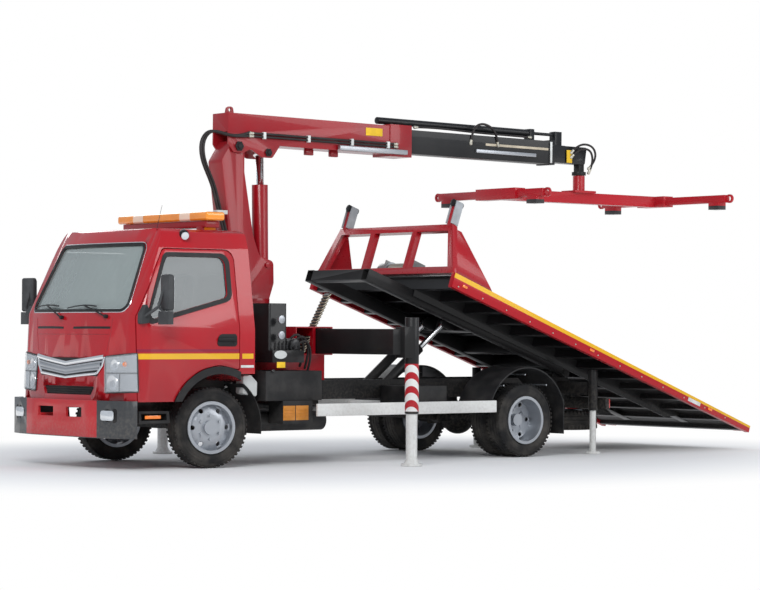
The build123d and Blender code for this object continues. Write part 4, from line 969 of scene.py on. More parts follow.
def grille_bars():
    """Two chrome bars that dip in the middle, with slats between them on a dark ground."""
    ground = Shape()
    nose_shell(ground, [(-0.475, 0.862), (0.475, 0.862), (0.555, 1.030), (-0.555, 1.030)], 0.001, 0.006,
               24, 4)
    ground.finish("grille_ground", seal_rubber, "cab", "black_plastic", replaces=("grille",))
    bars = Shape()
    top = [(-0.562, 1.040), (-0.40, 1.020), (0, 0.975), (0.40, 1.020), (0.562, 1.040)]
    low = [(-0.470, 0.885), (-0.30, 0.872), (0, 0.845), (0.30, 0.872), (0.470, 0.885)]
    nose_bead(bars, top, 0.012, 0.021, 10, 0.5, 0.05)
    nose_bead(bars, low, 0.010, 0.013, 10, 0.6, 0.05)
    for side in (-1, 1):
        end = [(side * 0.562, 1.040), (side * 0.540, 0.960), (side * 0.470, 0.885)]
        nose_bead(bars, end, 0.008, 0.012, 8, 0.5, 0.05)
    bars.finish("grille_bars", chrome, "cab", "chrome_bar")
    slats = Shape()
    for share in (0.28, 0.50, 0.72):
        line = [(y0 + (y1 - y0) * share, z0 + (z1 - z0) * share) for (y0, z0), (y1, z1) in zip(low, top)]
        width = 0.020 if share == 0.50 else 0.009
        nose_bead(slats, line, 0.008, width, 8, 0.35, 0.05)
    slats.finish("grille_slats", silver, "cab", "chrome_bar")


def intake():
    """Dark ground behind the intake slot and three bars across it."""
    ground = Shape()
    nose_shell(ground, [(-0.388, 0.684), (0.388, 0.684), (0.438, 0.766), (-0.438, 0.766)], -0.031, 0.004,
               20, 3)
    ground.finish("intake_ground", seal_rubber, "cab", "black_plastic")
    bars = Shape()
    for z in (0.702, 0.722, 0.744):
        reach = 0.36 + (z - 0.684) * 0.6
        nose_bead(bars, [(-reach, z), (reach, z)], -0.014, 0.006, 6, 0.6, 0.06)
    bars.finish("intake_bars", black_plastic, "cab", "black_plastic")


def headlamp(side, name):
    """Lamp behind a clear cover: two reflectors, an indicator bulb and the dividing webs."""
    housing = Shape()
    corners = [(side * 0.597, 0.712), (side * 0.955, 0.725), (side * 0.940, 1.072), (side * 0.575, 1.040)]
    nose_shell(housing, corners, 0.001, 0.004, 18, 12)
    housing.finish("lamp_housing_" + name, reflector, "cab", "lamp_clear", replaces=("headlamps",))
    webs = Shape()
    nose_bead(webs, corners, 0.006, 0.009, 6, 0.5, 0.03, True)
    nose_bead(webs, [(side * 0.585, 0.890), (side * 0.950, 0.894)], 0.006, 0.007, 6, 0.6, 0.03)
    nose_bead(webs, [(side * 0.765, 0.720), (side * 0.765, 0.890)], 0.006, 0.007, 6, 0.6, 0.05)
    webs.finish("lamp_webs_" + name, grey_plastic, "cab", "black_plastic")
    bowls = Shape()
    for y, z, radius in ((0.676, 0.805, 0.066), (0.70, 0.965, 0.050)):
        centre = on_nose([(side * y, z)], 0.0)[0]
        ahead = Vector((-1, side * 0.22, 0)).normalized()
        bowls.lathe(centre, centre + ahead, [(0.002, radius), (0.012, radius), (0.012, radius * 0.9),
                                             (0.004, radius * 0.45), (0.004, 0.001)], 28)
    bowls.finish("lamp_bowls_" + name, chrome, "cab", "lamp_clear")
    bulb = Shape()
    centre = on_nose([(side * 0.825, 0.975)], 0.004)[0]
    ahead = Vector((-1, side * 0.6, 0)).normalized()
    bulb.lathe(centre, centre + ahead, [(0, 0.024), (0.008, 0.022), (0.013, 0.014), (0.015, 0.001)], 16)
    bulb.finish("indicator_bulb_" + name, marker_amber, "cab", "amber_lens")
    cover = Shape()
    nose_shell(cover, corners, 0.018, 0.003, 18, 12)
    cover.finish("lamp_cover_" + name, clear_cover, "cab", "lamp_clear")


def fog_lamp(side, name):
    """Rounded rectangular fog lamp in the bumper's end, with its black bezel."""
    middle = Vector((-1.088, side * 0.745, 0.505))
    ahead = Vector((-1, side * 0.14, 0)).normalized()
    across = Vector((ahead.y, -ahead.x, 0))
    shape, bezel = Shape(), Shape()
    # Shape, half width, half height, start and depth along the lamp's axis.
    for target, wide, tall, start, depth in ((shape, 0.088, 0.046, 0.004, 0.010),
                                             (bezel, 0.112, 0.066, -0.035, 0.032)):
        corners = [(-wide, -tall), (wide, -tall), (wide, tall), (-wide, tall)]
        flat = rounded(corners, 0.026)
        target.plate([middle + ahead * start + across * p[0] + Vector((0, 0, p[1])) for p in flat],
                     ahead * depth)
    shape.finish("fog_lamp_" + name, clear_lens, "chassis", "lamp_clear", 0.003)
    bezel.finish("fog_lamp_bezel_" + name, black_plastic, "chassis", "black_plastic", 0.004)


def side_window_frame(side, name):
    """Black rubber frame round the door's window."""
    shape = Shape()
    inner = on_side(dense(window_outline), side, 0.001)
    centre = Vector((-0.30, 1.72))
    outer_line = dense(window_frame, 0.01)
    outer_points = []
    for p in dense(window_outline):
        direction = (p - centre).normalized()
        outer_points.append(max(outer_line, key=lambda q: (q - centre).normalized().dot(direction)))
    outer = on_side(outer_points, side, 0.001)
    shape.band(inner[:-1], outer[:-1], (0, side * 0.004, 0))
    shape.finish("window_frame_" + name, seal_rubber, "door_" + name, "black_plastic")


def door_fittings(side, name):
    """Handle in its recess with a lock, and the foot and the glass of the mirror."""
    shape = Shape()
    recess = rounded([(-0.038, 1.140), (0.200, 1.138), (0.198, 1.256), (-0.010, 1.254)],
                     (0.03, 0.03, 0.03, 0.05))
    shape.plate([Vector((p[0], side * 0.9845, p[1])) for p in recess], (0, side * 0.005, 0))
    grip = [Vector((x, side * (0.990 + 0.014 * bulge), z)) for x, bulge, z in
            ((-0.020, 0.1, 1.203), (0.030, 0.9, 1.206), (0.090, 1.0, 1.207), (0.150, 0.8, 1.205),
             (0.184, 0.2, 1.203))]
    shape.tube(grip, 0.019, 10, 0.6, (0, 1, 0))
    shape.lathe((0.165, side * 0.988, 1.170), (0.165, side * 1.0, 1.170), [(0, 0.011), (0.006, 0.009)], 14)
    shape.finish("door_handle_" + name, black_plastic, "door_" + name, "black_plastic", 0.0015)
    foot = Shape()
    outline = rounded([(-0.895, 1.342), (-0.805, 1.352), (-0.800, 1.470), (-0.835, 1.530), (-0.895, 1.440)],
                      (0.015, 0.02, 0.015, 0.01, 0.02))
    foot.plate([Vector((p[0], side * 0.932, p[1])) for p in outline], (0, side * 0.066, 0))
    foot.finish("mirror_foot_" + name, grey_plastic, "door_" + name, "black_plastic", 0.006)
    glass = Shape()
    face = rounded([(-0.078, -0.150), (0.078, -0.150), (0.078, 0.150), (-0.078, 0.150)], 0.02)
    turn = Matrix.Rotation(radians(side * 8), 3, "Z")
    glass.plate([Vector((-0.735, side * 1.175, 1.630)) + turn @ Vector((0.0305, p[0], p[1])) for p in face],
                turn @ Vector((0.003, 0, 0)))
    glass.finish("mirror_glass_" + name, chrome, "door_" + name, "lamp_clear", 0.001)


def cab_roof():
    """Bracket of the light bar, roof work lamp and aerial."""
    bracket = Shape()
    bracket.box((0.040, -0.690, 2.262), (0.200, 0.690, 2.326))
    for side in (-1, 1):
        bracket.box((0.030, side * 0.600 - 0.045, 2.215), (0.210, side * 0.600 + 0.045, 2.275))
    bracket.finish("light_bar_bracket", crane_paint, "cab", "crane_paint", 0.006)
    lamp = Shape()
    lamp.lathe((-0.300, -0.800, 2.195), (-0.330, -0.880, 2.165),
               [(0, 0.020), (0.012, 0.042), (0.055, 0.046), (0.062, 0.040)], 20)
    lamp.rod((-0.270, -0.740, 2.170), (-0.300, -0.790, 2.200), 0.010)
    lamp.finish("roof_lamp", black_plastic, "cab", "black_plastic", 0.002)
    face = Shape()
    face.lathe((-0.3296, -0.879, 2.1654), (-0.334, -0.891, 2.161),
               [(0.002, 0.038), (0.007, 0.034), (0.009, 0.001)], 20)
    face.finish("roof_lamp_glass", clear_lens, "cab", "lamp_clear")
    aerial = Shape()
    aerial.rod((-0.589, -0.740, 2.115), (-0.575, -0.742, 2.150), 0.011, 0.006)
    aerial.rod((-0.577, -0.742, 2.140), (-0.500, -0.750, 2.450), 0.0030, 0.0016, 8)
    aerial.finish("aerial", black_plastic, "cab", "black_plastic")


def lower_cab():
    """Sill reflector, washer bottle, pale strip and mudguards behind the front wheels."""
    for side, name in both_sides:
        shape = Shape()
        shape.box((-0.842, side * 0.981, 0.476), (-0.668, side * 0.981 + side * 0.006, 0.506))
        # The sill reflector glows with marker_amber's painted glow.
        shape.finish("sill_reflector_" + name, marker_amber, "cab", "amber_lens", 0.002)
        guard = Shape()
        arc = []
        for degree in range(-8, 62, 7):
            angle = radians(degree)
            arc.append((0.497 * cos(angle), wheel_z + 0.497 * sin(angle)))
        outer = [(x + 0.008, z) for x, z in reversed(arc)]
        guard.plate([Vector((x, side * 0.66, z)) for x, z in arc + outer], (0, side * 0.31, 0))
        guard.finish("mudguard_" + name, black_plastic, "chassis", "black_plastic")
    bottle = Shape()
    outline = rounded([(0.330, 0.690), (0.500, 0.660), (0.505, 0.800), (0.430, 0.868), (0.335, 0.860)],
                      (0.02, 0.02, 0.03, 0.03, 0.02))
    bottle.plate([Vector((p[0], -0.905, p[1])) for p in outline], (0, 0.12, 0))
    bottle.finish("washer_bottle", white_plastic, "chassis", "white_paint", 0.012)
    blocks("corner_strip", [((0.245, -0.988, 0.938), (0.398, -0.984, 0.962))], white_plastic, "cab",
           "white_paint", 0.0015)


windscreen_seal()
wipers()
nose_trim()
grille_bars()
intake()
cab_roof()
lower_cab()
for side, name in both_sides:
    headlamp(side, name)
    fog_lamp(side, name)
    side_window_frame(side, name)
    door_fittings(side, name)


# ---------------------------------------------------------------- wheels
tyre_half = 0.1075
tread_radius = 0.372
rib_y = 0.1062
tread_block_count = 54
# Section of a tyre: distance from its middle plane and radius, from bead to bead.
tyre_section = [(-0.084, 0.247), (-0.101, 0.270), (-0.1065, 0.300), (-0.104, 0.330), (-0.096, 0.352),
                (-0.084, 0.366), (-0.070, 0.370), (-0.046, tread_radius), (-0.044, 0.364), (-0.038, 0.364),
                (-0.036, tread_radius), (-0.004, tread_radius), (-0.003, 0.364), (0.003, 0.364),
                (0.004, tread_radius), (0.036, tread_radius), (0.038, 0.364), (0.044, 0.364),
                (0.046, tread_radius), (0.070, 0.370), (0.084, 0.366), (0.096, 0.352), (0.104, 0.330),
                (0.1065, 0.300), (0.101, 0.270), (0.084, 0.247)]


def tyre(name, body, centre, turn, replaced):
    """Tyre about the Y axis with ribs, grooves and tread blocks, turned and moved to its wheel."""
    section = tyre_section + [(0.070, 0.243), (-0.070, 0.243)]
    sides = 72
    loops = [[Vector((r * sin(2 * pi * i / sides), along, r * cos(2 * pi * i / sides))) for i in range(sides)]
             for along, r in section]
    shape = Shape()
    shape.ring_faces(loops + [loops[0]], False)
    for r in (0.302, 0.3275):
        for side in (-1, 1):
            ring = [Vector((r * sin(2 * pi * i / sides), side * rib_y, r * cos(2 * pi * i / sides)))
                    for i in range(sides)]
            shape.tube(ring + [ring[0]], 0.0018, 6, 1.0, (0, 1, 0))
    place = Matrix.Translation(centre) @ turn
    shape.mesh.transform(place)
    shape.finish(name, rubber, body, "tyre_rubber", smooth=32, replaces=replaced)
    for side, phase in ((-1, 0.0), (1, 0.5)):
        block = Shape()
        block.box((-0.011, side * 0.075 - 0.020, 0.3655), (0.011, side * 0.075 + 0.020, 0.3755))
        data = repeat(rings, block, name + "_blocks", rubber, place, Count=tread_block_count,
                      Phase=phase / tread_block_count)
        settle(name + "_blocks_" + ("in" if side < 0 else "out"), data, rubber, body, "tyre_rubber")


def wheel_centre(node, share=0.5):
    """Middle of a wheel's box, from the front axle; share picks one tyre of a pair."""
    low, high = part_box(node)
    y = (low.y + high.y) / 2
    if share < 0.5:
        y = low.y + tyre_half
    elif share > 0.5:
        y = high.y - tyre_half
    return Vector(((low.x + high.x) / 2 - axle_x, y, (low.z + high.z) / 2))


steer_rest = Matrix.Rotation(steer_rest_angle, 4, "Z")
for name in ("left", "right"):
    tyre("front_tread_" + name, "front_wheel_" + name, wheel_centre("front_tyre_" + name), steer_rest,
         ("front_tyre_" + name,))
    for place, share in (("near", 0.0), ("far", 1.0)):
        tyre("rear_tread_%s_%s" % (name, place), "rear_wheels_" + name,
             wheel_centre("rear_tyres_" + name, share),
             Matrix.Identity(4), ("rear_tyres_" + name,) if share else ())
tyre("spare_tread", "chassis", wheel_centre("spare_wheel"), Matrix.Rotation(radians(90), 4, "X"),
     ("spare_wheel",))


def wheel_nuts(name, body, centre, turn, side, radius, depth):
    """Ring of nuts on the outer face of a wheel."""
    nut = Shape()
    nut.rod((0, side * depth, radius), (0, side * (depth + 0.022), radius), 0.0125, 0.0105, 6)
    place = Matrix.Translation(centre) @ turn
    data = repeat(rings, nut, name + "_nuts", zinc, place, Count=6, Phase=0.08)
    settle(name + "_nuts", data, zinc, body, "wheel_silver")


for side, name in both_sides:
    wheel_nuts("front_" + name, "front_wheel_" + name, wheel_centre("front_tyre_" + name), steer_rest, side,
               0.111, 0.020)


# ---------------------------------------------------------------- seats
def cushion(name, middle, half, lean, crown):
    """Padded form: crowned faces, sides drawn in between the corners and sewn channels."""
    shape = Shape()
    bmesh.ops.create_cube(shape.mesh, size=2)
    bmesh.ops.subdivide_edges(shape.mesh, edges=shape.mesh.edges, cuts=22, use_grid_fill=True)
    turn = Matrix.Rotation(radians(lean), 3, "Y")
    for vert in shape.mesh.verts:
        a, b, c = vert.co
        bulge = (1 - a * a) * (1 - b * b)
        pull = 1 - 0.07 * (1 - c * c) * (1 - min(1, a * a * b * b))
        x, y, z = a * pull, b * pull, c * (1 - crown) + c * crown * bulge
        ease = 0.10 * max(0, abs(a) + abs(b) + abs(c) - 2.2)
        x, y, z = x * (1 - ease), y * (1 - ease), z * (1 - ease)
        for line in (-0.45, 0.45):
            z -= c * 0.10 * max(0, 1 - ((b - line) / 0.07) ** 2) * (abs(c) > 0.9)
        vert.co = Vector(middle) + turn @ Vector((x * half[0], y * half[1], z * half[2]))
    piece = shape.finish(name, cloth, "cab", "seat_fabric", smooth=60)


def beside_seats(x, y, z):
    """True for the dashboard, the steering wheel and its column."""
    return x < -0.318


# Each seat and its distance from the middle plane.
seats = (("driver", -0.560), ("middle", 0.060), ("passenger", 0.560))
for place, y in seats:
    cushion("seat_cushion_" + place, (-0.095, y, 1.185), (0.215, 0.228, 0.072), 0, 0.25)
    cushion("seat_back_" + place, (0.200, y, 1.510), (0.052, 0.218, 0.318), 10, 0.04)
dress("cab_interior", black_plastic, keep=beside_seats)
for place, y in seats:
    blocks("seat_base_" + place, [((-0.290, y - 0.200, 0.952), (0.110, y + 0.200, 1.118))], grey_plastic,
           "cab", "black_plastic", 0.015)


# ---------------------------------------------------------------- crane
def hose(name, route, radius, body, place=plain, ends=True):
    """Hydraulic hose along its route, with a crimped fitting at each end if ends is true."""
    line = smooth_line([place(*point) for point in route], 10)
    shape = Shape()
    shape.tube(line, radius, 10)
    shape.finish(name, hose_rubber, body, "black_plastic", smooth=60)
    if ends:
        crimp = Shape()
        for a, b in ((line[0], line[2]), (line[-1], line[-3])):
            direction = (b - a).normalized()
            crimp.lathe(a - direction * 0.012, a + direction * 0.05,
                        [(0, radius), (0.012, radius * 1.55), (0.026, radius * 1.55), (0.030, radius * 1.25),
                         (0.058, radius * 1.25)], 12)
        crimp.finish(name + "_fittings", zinc, body, "chrome_bar")


def boom_details():
    """Hoses, clamps, pipe box, blank plate and pins of the main boom, and the lugs under it."""
    for number, w in ((1, 0.105), (2, 0.135)):
        hose("boom_hose_%d" % number,
             [(0.12, -0.150, w), (0.5, -0.152, w + 0.004), (1.0, -0.152, w - 0.003), (1.5, -0.152, w + 0.002),
              (2.02, -0.152, w)], 0.012, "main_boom", on_boom)
    for number, s in enumerate((0.30, 0.86, 1.42, 1.90)):
        blocks("hose_clamp_%d" % number, [((s - 0.016, -0.168, 0.085), (s + 0.016, -0.1325, 0.155))],
               white_plastic, "main_boom", "guard_white", 0.004, on_boom)
    blocks("boom_pipe_box", [((1.24, -0.190, 0.030), (2.14, -0.143, 0.078))], silver, "main_boom",
           "chrome_bar", 0.006, on_boom)
    blocks("blank_boom_plate", [((1.62, -0.1345, 0.205), (1.84, -0.1315, 0.285))], yellow_plate, "main_boom",
           "amber_lens", 0.0008, on_boom)
    blocks("boom_lugs", [((s - 0.05, -0.022, -0.030), (s + 0.05, 0.022, 0.031)) for s in (0.98, 1.30)],
           crane_paint, "main_boom", "crane_paint", 0.008, on_boom)
    pins = Shape()
    for s, w, radius in ((0.0, 0.0, 0.052), (0.360, -0.044, 0.044)):
        for side in (-1, 1):
            pins.lathe(on_boom(s, side * 0.143, w), on_boom(s, side * 0.172, w),
                       [(0, radius), (0.012, radius), (0.014, radius * 0.62), (0.028, radius * 0.58)], 6)
    pins.finish("boom_pin_heads", black_plastic, "main_boom", "chassis_black", 0.003)


def column_details():
    """Two hoses that loop up in front of the crane column to the boom, and their clamp."""
    bend = ("crane_column", "main_boom", (0.40, 0, 2.95), (0.70, 0, 3.20))
    for number, shift in ((1, 0.0), (2, 0.034)):
        hose("column_hose_%d" % number,
             [(0.70 + shift, -0.160, 2.05), (0.62 + shift, -0.175, 2.30), (0.555 + shift, -0.175, 2.46),
              (0.49 + shift, -0.175, 2.72), (0.36 + shift, -0.175, 2.92), (0.335 + shift, -0.175, 3.12),
              (0.44 + shift, -0.172, 3.245), (0.60 + shift, -0.165, 3.215), (0.78 + shift, -0.152, 3.185),
              (0.96, -0.150, 3.205 + shift)], 0.014, bend, ends=False)
    blocks("column_hose_clamp", [((0.535, -0.205, 2.42), (0.660, -0.130, 2.46))], white_plastic,
           "crane_column", "guard_white", 0.004)


def mast_head():
    """Length bar, pipe box, end band, hoses and fitting block of the two inner booms."""
    blocks("boom_length_bar", [((3.30, -0.1085, 0.196), (4.22, -0.1052, 0.222))], beige, "boom_inner",
           "bed_black", 0.001, on_boom)
    blocks("inner_pipe_box", [((3.15, -0.132, 0.112), (4.02, -0.1052, 0.150))], silver, "boom_inner",
           "chrome_bar", 0.004, on_boom)
    blocks("boom_end_band", [((4.235, -0.128, 0.060), (4.262, -0.1172, 0.290))], white_plastic, "boom_inner",
           "guard_white", 0.002, on_boom)
    hose("inner_boom_hose", [(2.30, -0.100, 0.330), (2.60, -0.080, 0.350), (3.2, -0.070, 0.322),
                             (3.7, -0.076, 0.330), (3.98, -0.080, 0.325)], 0.011, "boom_inner", on_boom)
    hose("boom_top_loop", [(3.08, -0.108, 0.20), (3.09, -0.125, 0.34), (3.16, -0.130, 0.43),
                           (3.33, -0.130, 0.42), (3.44, -0.128, 0.34), (3.47, -0.112, 0.20)],
         0.013, "boom_inner", on_boom)
    blocks("tip_fitting_block", [((4.52, -0.090, 0.080), (4.60, -0.0805, 0.220))], yellow_plate, "boom_tip",
           "amber_lens", 0.003, on_boom)
    for number, w in ((1, 0.0), (2, -0.05)):
        hose("tip_hose_%d" % number,
             [(4.58, -0.090, 0.19 + w), (4.66, -0.110, 0.28 + w), (4.80, -0.115, 0.31 + w),
              (4.95 + w, -0.112, 0.25 + w), (4.95 + w, -0.105, 0.12 + w), (4.86, -0.080, 0.03 + w)],
             0.012, "boom_tip", on_boom)


# ---------------------------------------------------------------- bed
def bed_details():
    """Markers, tie-down loops, blank plate, tail lamps and bolts of the bed."""
    for side, place in both_sides:
        for number, s in enumerate((0.16, 2.06, 3.98)):
            low = rail_top(s) * 0.30
            near, far = sorted((side * bed_half, side * (bed_half + 0.012)))
            blocks("bed_marker_%s_%d" % (place, number),
                   [((s - 0.032, near, low), (s + 0.032, far, low + 0.026))], marker_amber, "bed",
                   "amber_lens", 0.004, on_bed)
        for number, s in enumerate((1.05, 2.20, 3.35, 4.30)):
            y = side * 1.088
            low = rail_top(s) - 0.028
            loop = smooth_line([on_bed(s - 0.045, y, low), on_bed(s - 0.045, y - side * 0.020, low + 0.030),
                                on_bed(s, y - side * 0.030, low + 0.048),
                                on_bed(s + 0.045, y - side * 0.020, low + 0.030),
                                on_bed(s + 0.045, y, low)], 6)
            shape = Shape()
            shape.tube(loop, 0.007, 8)
            shape.finish("tie_loop_%s_%d" % (place, number), zinc, "bed", "chrome_bar")
    blocks("blank_bed_plate", [((3.62, -1.1525, 0.018), (3.82, -1.1502, 0.058))], white_plastic, "bed",
           "guard_white", 0.0006, on_bed)
    blocks("bed_tail_lamps", [((4.655, y - 0.06, 0.012), (4.672, y + 0.06, 0.052)) for y in (-0.98, 0.98)],
           red_lens, "bed", "red_lens", 0.003, on_bed)
    bolts = Shape()
    bolts.lathe(on_bed(0, -bed_half, 0.0), on_bed(0, -1.158, 0.0),
                [(0, 0.008), (0.004, 0.008), (0.007, 0.005)], 8)
    for vert in bolts.mesh.verts:
        vert.co -= on_bed(0, -bed_half, 0.0)
    along = on_bed(1, 0, 0) - on_bed(0, 0, 0)
    start = on_bed(0.08, -bed_half, 0.030)
    data = repeat(rows, bolts, "bed_bolts", zinc, Count=13, Start=start, Pitch=along * 0.347)
    settle("bed_bolts", data, zinc, "bed", "chrome_bar")


def cradle_rollers():
    """Levers and rollers of the cradles on the headboard's top rail."""
    for side, place in both_sides:
        y = side * 0.840
        blocks("cradle_lever_" + place,
               [((-0.012, y - 0.046, 0.690), (0.088, y - 0.0305, 0.935)),
                ((-0.012, y + 0.0305, 0.690), (0.088, y + 0.046, 0.935))],
               pale_grey, "bed", "winch_grey", 0.006, on_bed)
        roller = Shape()
        roller.lathe(on_bed(-0.030, y, 0.910), on_bed(0.106, y, 0.910),
                     [(0, 0.020), (0.006, 0.0375), (0.040, 0.0360), (0.068, 0.0350), (0.096, 0.0360),
                      (0.130, 0.0375), (0.136, 0.020)], 20)
        roller.finish("cradle_roller_" + place, black_plastic, "bed", "black_plastic")


def winch_details():
    """Rope on the drum and the hoses to the winch's motor."""
    rope = Shape()
    # Drum's axis along and above the bed, then the rope's radius about it, half reach and winding.
    drum_s, drum_h = 0.260, 0.280
    wound_radius, half_reach = 0.0735, 0.172
    turns, steps = 15, 24
    points = []
    for k in range(turns * steps + 1):
        angle = 2 * pi * k / steps
        y = -half_reach + 2 * half_reach * k / (turns * steps)
        points.append(on_bed(drum_s + wound_radius * cos(angle), y, drum_h + wound_radius * sin(angle)))
    rope.tube(points, 0.0105, 6, 1.0, (0, 1, 0))
    rope.finish("winch_rope", zinc, "winch_drum", "wheel_silver")
    for number, y in ((1, 0.24), (2, 0.29)):
        hose("winch_hose_%d" % number,
             [(0.33, y, 0.36), (0.42, y - 0.02, 0.45), (0.52, y - 0.10, 0.38), (0.56, y - 0.16, 0.24),
              (0.55, y - 0.18, 0.115)], 0.011, "bed", on_bed)


# ---------------------------------------------------------------- chassis
def tank_details():
    """Caps, blank plates, lever knobs, valve cap and hoses of the oil tank and its valve block."""
    caps = Shape()
    for z in (1.245, 1.395):
        caps.lathe((0.735, -0.955, z), (0.735, -0.990, z),
                   [(0, 0.036), (0.010, 0.040), (0.024, 0.038), (0.028, 0.02)], 20)
    caps.finish("tank_caps", silver, "chassis", "chrome_bar")
    oval = Shape()
    count = 28
    angles = [2 * pi * k / count for k in range(count)]
    rim = [Vector((0.735 + 0.075 * cos(a), -0.9612, 1.060 + 0.040 * sin(a))) for a in angles]
    oval.plate(rim, (0, -0.002, 0))
    oval.finish("blank_oval", white_plastic, "chassis", "guard_white", 0.0006)
    blocks("blank_tank_plate", [((0.690, -0.9632, 0.935), (0.790, -0.9612, 0.990))], yellow_plate, "chassis",
           "amber_lens", 0.0006)
    knobs = Shape()
    for number in range(6):
        x = 0.690 + number * 0.048
        knobs.lathe((x, -0.985, 1.118), (x, -0.992, 1.150),
                    [(0, 0.006), (0.012, 0.013), (0.026, 0.013), (0.034, 0.006)], 12)
    knobs.finish("lever_knobs", black_plastic, "chassis", "black_plastic")
    cap = Shape()
    cap.lathe((0.930, -0.903, 1.160), (0.930, -0.960, 1.160),
              [(0, 0.050), (0.030, 0.052), (0.046, 0.046), (0.050, 0.02)], 24)
    cap.finish("valve_cap", bright_red, "chassis", "crane_paint", 0.002)
    for number, (x, z) in enumerate(((0.900, 1.20), (0.960, 1.18), (0.990, 1.14))):
        hose("valve_hose_%d" % number,
             [(x, -0.880, z), (x + 0.03, -0.93, z + 0.07), (x + 0.14, -0.92, z + 0.05),
              (x + 0.20, -0.86, z - 0.12), (x + 0.19, -0.80, z - 0.26)], 0.012, "chassis", ends=False)


def side_cases():
    """Amber case in two sections under the battery box, with its ribs."""
    pairs = []
    for low, high in ((0.762, 0.906), (0.916, 1.068)):
        pairs.append(((low, -0.974, 0.432), (high, -0.9655, 0.572)))
        for z in (0.470, 0.502, 0.534):
            pairs.append(((low + 0.012, -0.979, z - 0.005), (high - 0.012, -0.973, z + 0.005)))
    blocks("amber_case", pairs, amber_case, "chassis", "amber_lens", 0.004)
    button = Shape()
    button.lathe((0.640, -0.962, 0.905), (0.640, -0.985, 0.905),
                 [(0, 0.015), (0.014, 0.017), (0.020, 0.012)], 16)
    button.finish("stop_button", bright_red, "chassis", "crane_paint")


def cable_chain():
    """Cable chain that rises from beside the crane's base towards the tilting frame."""
    start, end = Vector((1.400, -0.430, 1.080)), Vector((1.720, -0.430, 1.640))
    count = 19
    step = (end - start) / (count - 1)
    lean = Matrix.Rotation(-radians(30), 3, "Y")
    # The two parts of a link: name, finish and half of its size.
    for name, material, half in (("links", black_plastic, (0.022, 0.040, 0.012)),
                                 ("pins", beige, (0.026, 0.043, 0.004))):
        link = Shape()
        link.box([-length for length in half], half)
        for vert in link.mesh.verts:
            vert.co = lean @ vert.co
        data = repeat(rows, link, "cable_chain_" + name, material, Count=count, Start=start, Pitch=step)
        settle("cable_chain_" + name, data, material, ("chassis", "tilt_frame", start, end), "black_plastic")


def fender_details():
    """Three bright ribs across each rear fender."""
    for side, place in both_sides:
        shape = Shape()
        for degree in (50, 90, 130):
            angle = radians(degree)
            x, z = wheelbase_x + 0.468 * cos(angle), wheel_z + 0.468 * sin(angle)
            shape.rod((x, side * 0.60, z), (x, side * 1.045, z), 0.008, sides=10)
        shape.finish("fender_ribs_" + place, silver, "chassis", "chrome_bar")


boom_details()
side_cases()
cable_chain()
column_details()
mast_head()
bed_details()
cradle_rollers()
winch_details()
tank_details()
fender_details()


# ---------------------------------------------------------------- floor, light and camera
def floor_finish():
    """Pale ground that fades into the white surroundings."""
    finish = Finish("studio_floor")
    at = finish.place()
    x, y, z = finish.axes(at)
    across = (x - 2.0) * (x - 2.0) / 55 + y * y / 30
    cloud = finish.noise(at, 0.8)
    tone = finish.mix(cloud, (0.90, 0.90, 0.90), (0.94, 0.94, 0.94))
    ground = finish.node("ShaderNodeBsdfPrincipled", {}, {"Base Color": tone, "Roughness": 0.9,
                                                           "Specular IOR Level": 0.0})
    white = finish.node("ShaderNodeEmission", {}, {"Color": (1, 1, 1, 1), "Strength": 1.0})
    blend = finish.node("ShaderNodeMixShader", {}, {0: across.ramp(0.25, 1.0), 1: ground, 2: white})
    finish.node("ShaderNodeOutputMaterial", {}, {"Surface": blend})
    return finish.material


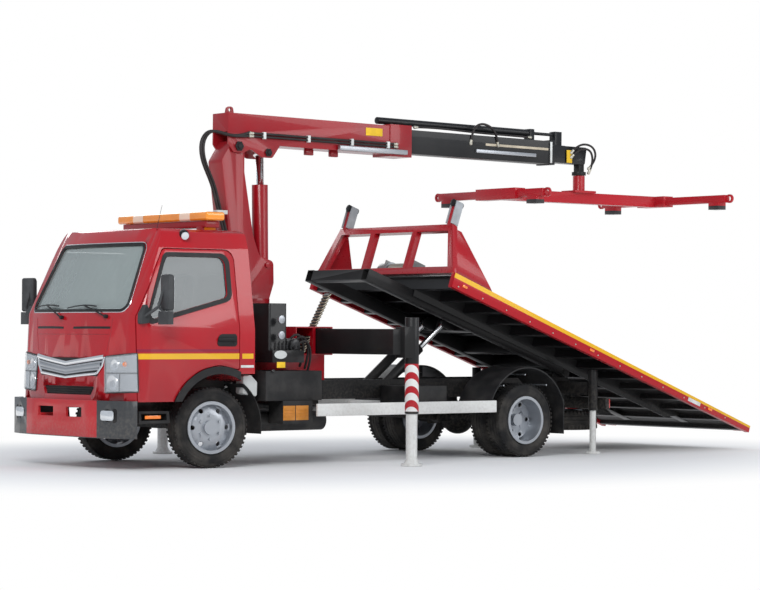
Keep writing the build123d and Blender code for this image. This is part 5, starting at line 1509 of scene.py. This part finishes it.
def studio():
    """Floor, plain soft lamps and a white world."""
    data = bpy.data.meshes.new("floor")
    reach = 90
    data.from_pydata([(-reach, -reach, 0), (reach, -reach, 0), (reach, reach, 0), (-reach, reach, 0)], [],
                     [(0, 1, 2, 3)])
    data.materials.append(floor_finish())
    ground = bpy.data.objects.new("floor", data)
    ground.location.z = -0.001
    bpy.context.scene.collection.objects.link(ground)

    world = bpy.data.worlds.new("studio")
    bpy.context.scene.world = world
    world.use_nodes = True
    tree = world.node_tree
    tree.nodes.clear()
    light = tree.nodes.new("ShaderNodeBackground")
    light.inputs["Color"].default_value = (0.86, 0.92, 1.0, 1)
    light.inputs["Strength"].default_value = 0.55
    seen = tree.nodes.new("ShaderNodeBackground")
    seen.inputs["Color"].default_value = (1, 1, 1, 1)
    seen.inputs["Strength"].default_value = 1.0
    rays = tree.nodes.new("ShaderNodeLightPath")
    either = tree.nodes.new("ShaderNodeMath")
    either.operation = "MAXIMUM"
    tree.links.new(rays.outputs["Is Camera Ray"], either.inputs[0])
    tree.links.new(rays.outputs["Is Transmission Ray"], either.inputs[1])
    blend = tree.nodes.new("ShaderNodeMixShader")
    tree.links.new(either.outputs[0], blend.inputs[0])
    tree.links.new(light.outputs[0], blend.inputs[1])
    tree.links.new(seen.outputs[0], blend.inputs[2])
    out = tree.nodes.new("ShaderNodeOutputWorld")
    tree.links.new(blend.outputs[0], out.inputs[0])

    # Lamps: name, place, power, width, height.
    lamps = (("key", (-9.0, -9.0, 9.0), 900, 6, 4), ("fill", (8.0, -12.0, 6.0), 420, 8, 5),
             ("back", (6.0, 11.0, 8.0), 350, 8, 5))
    target = Vector((2.2 + axle_x, 0, 1.3))
    for name, place, power, width, height in lamps:
        lamp = bpy.data.lights.new(name, "AREA")
        lamp.shape = "RECTANGLE"
        lamp.size = width
        lamp.size_y = height
        lamp.energy = power
        holder = bpy.data.objects.new(name, lamp)
        holder.location = Vector(place) + Vector((axle_x, 0, 0))
        holder.rotation_euler = (target - holder.location).to_track_quat("-Z", "Y").to_euler()
        bpy.context.scene.collection.objects.link(holder)
    bpy.context.scene.view_settings.view_transform = "Standard"


# Camera: place from the front axle, heading from +Y towards +X, tilt, roll and focal length in pixels.
camera_place = (-14.037, -20.108, 1.2825)
camera_heading = 0.6962
camera_tilt = 0.0145
camera_roll = 0.0044
camera_focal = 2534.34
image_width = 760
sensor_width = 36.0


def camera():
    """The camera that frames the truck from its front left."""
    level = Vector((sin(camera_heading), cos(camera_heading), 0))
    right = Vector((cos(camera_heading), -sin(camera_heading), 0))
    up = Vector((0, 0, 1))
    ahead = level * cos(camera_tilt) + up * sin(camera_tilt)
    above = up * cos(camera_tilt) - level * sin(camera_tilt)
    rolled_right = right * cos(camera_roll) + above * sin(camera_roll)
    rolled_up = above * cos(camera_roll) - right * sin(camera_roll)
    lens_data = bpy.data.cameras.new("camera")
    lens_data.sensor_width = sensor_width
    lens_data.lens = camera_focal * sensor_width / image_width
    lens_data.clip_end = 500
    holder = bpy.data.objects.new("camera", lens_data)
    bpy.context.scene.collection.objects.link(holder)
    turn = Matrix((rolled_right, rolled_up, -ahead)).transposed().to_4x4()
    holder.matrix_world = Matrix.Translation(Vector(camera_place) + Vector((axle_x, 0, 0))) @ turn
    bpy.context.scene.camera = holder


studio()
camera()
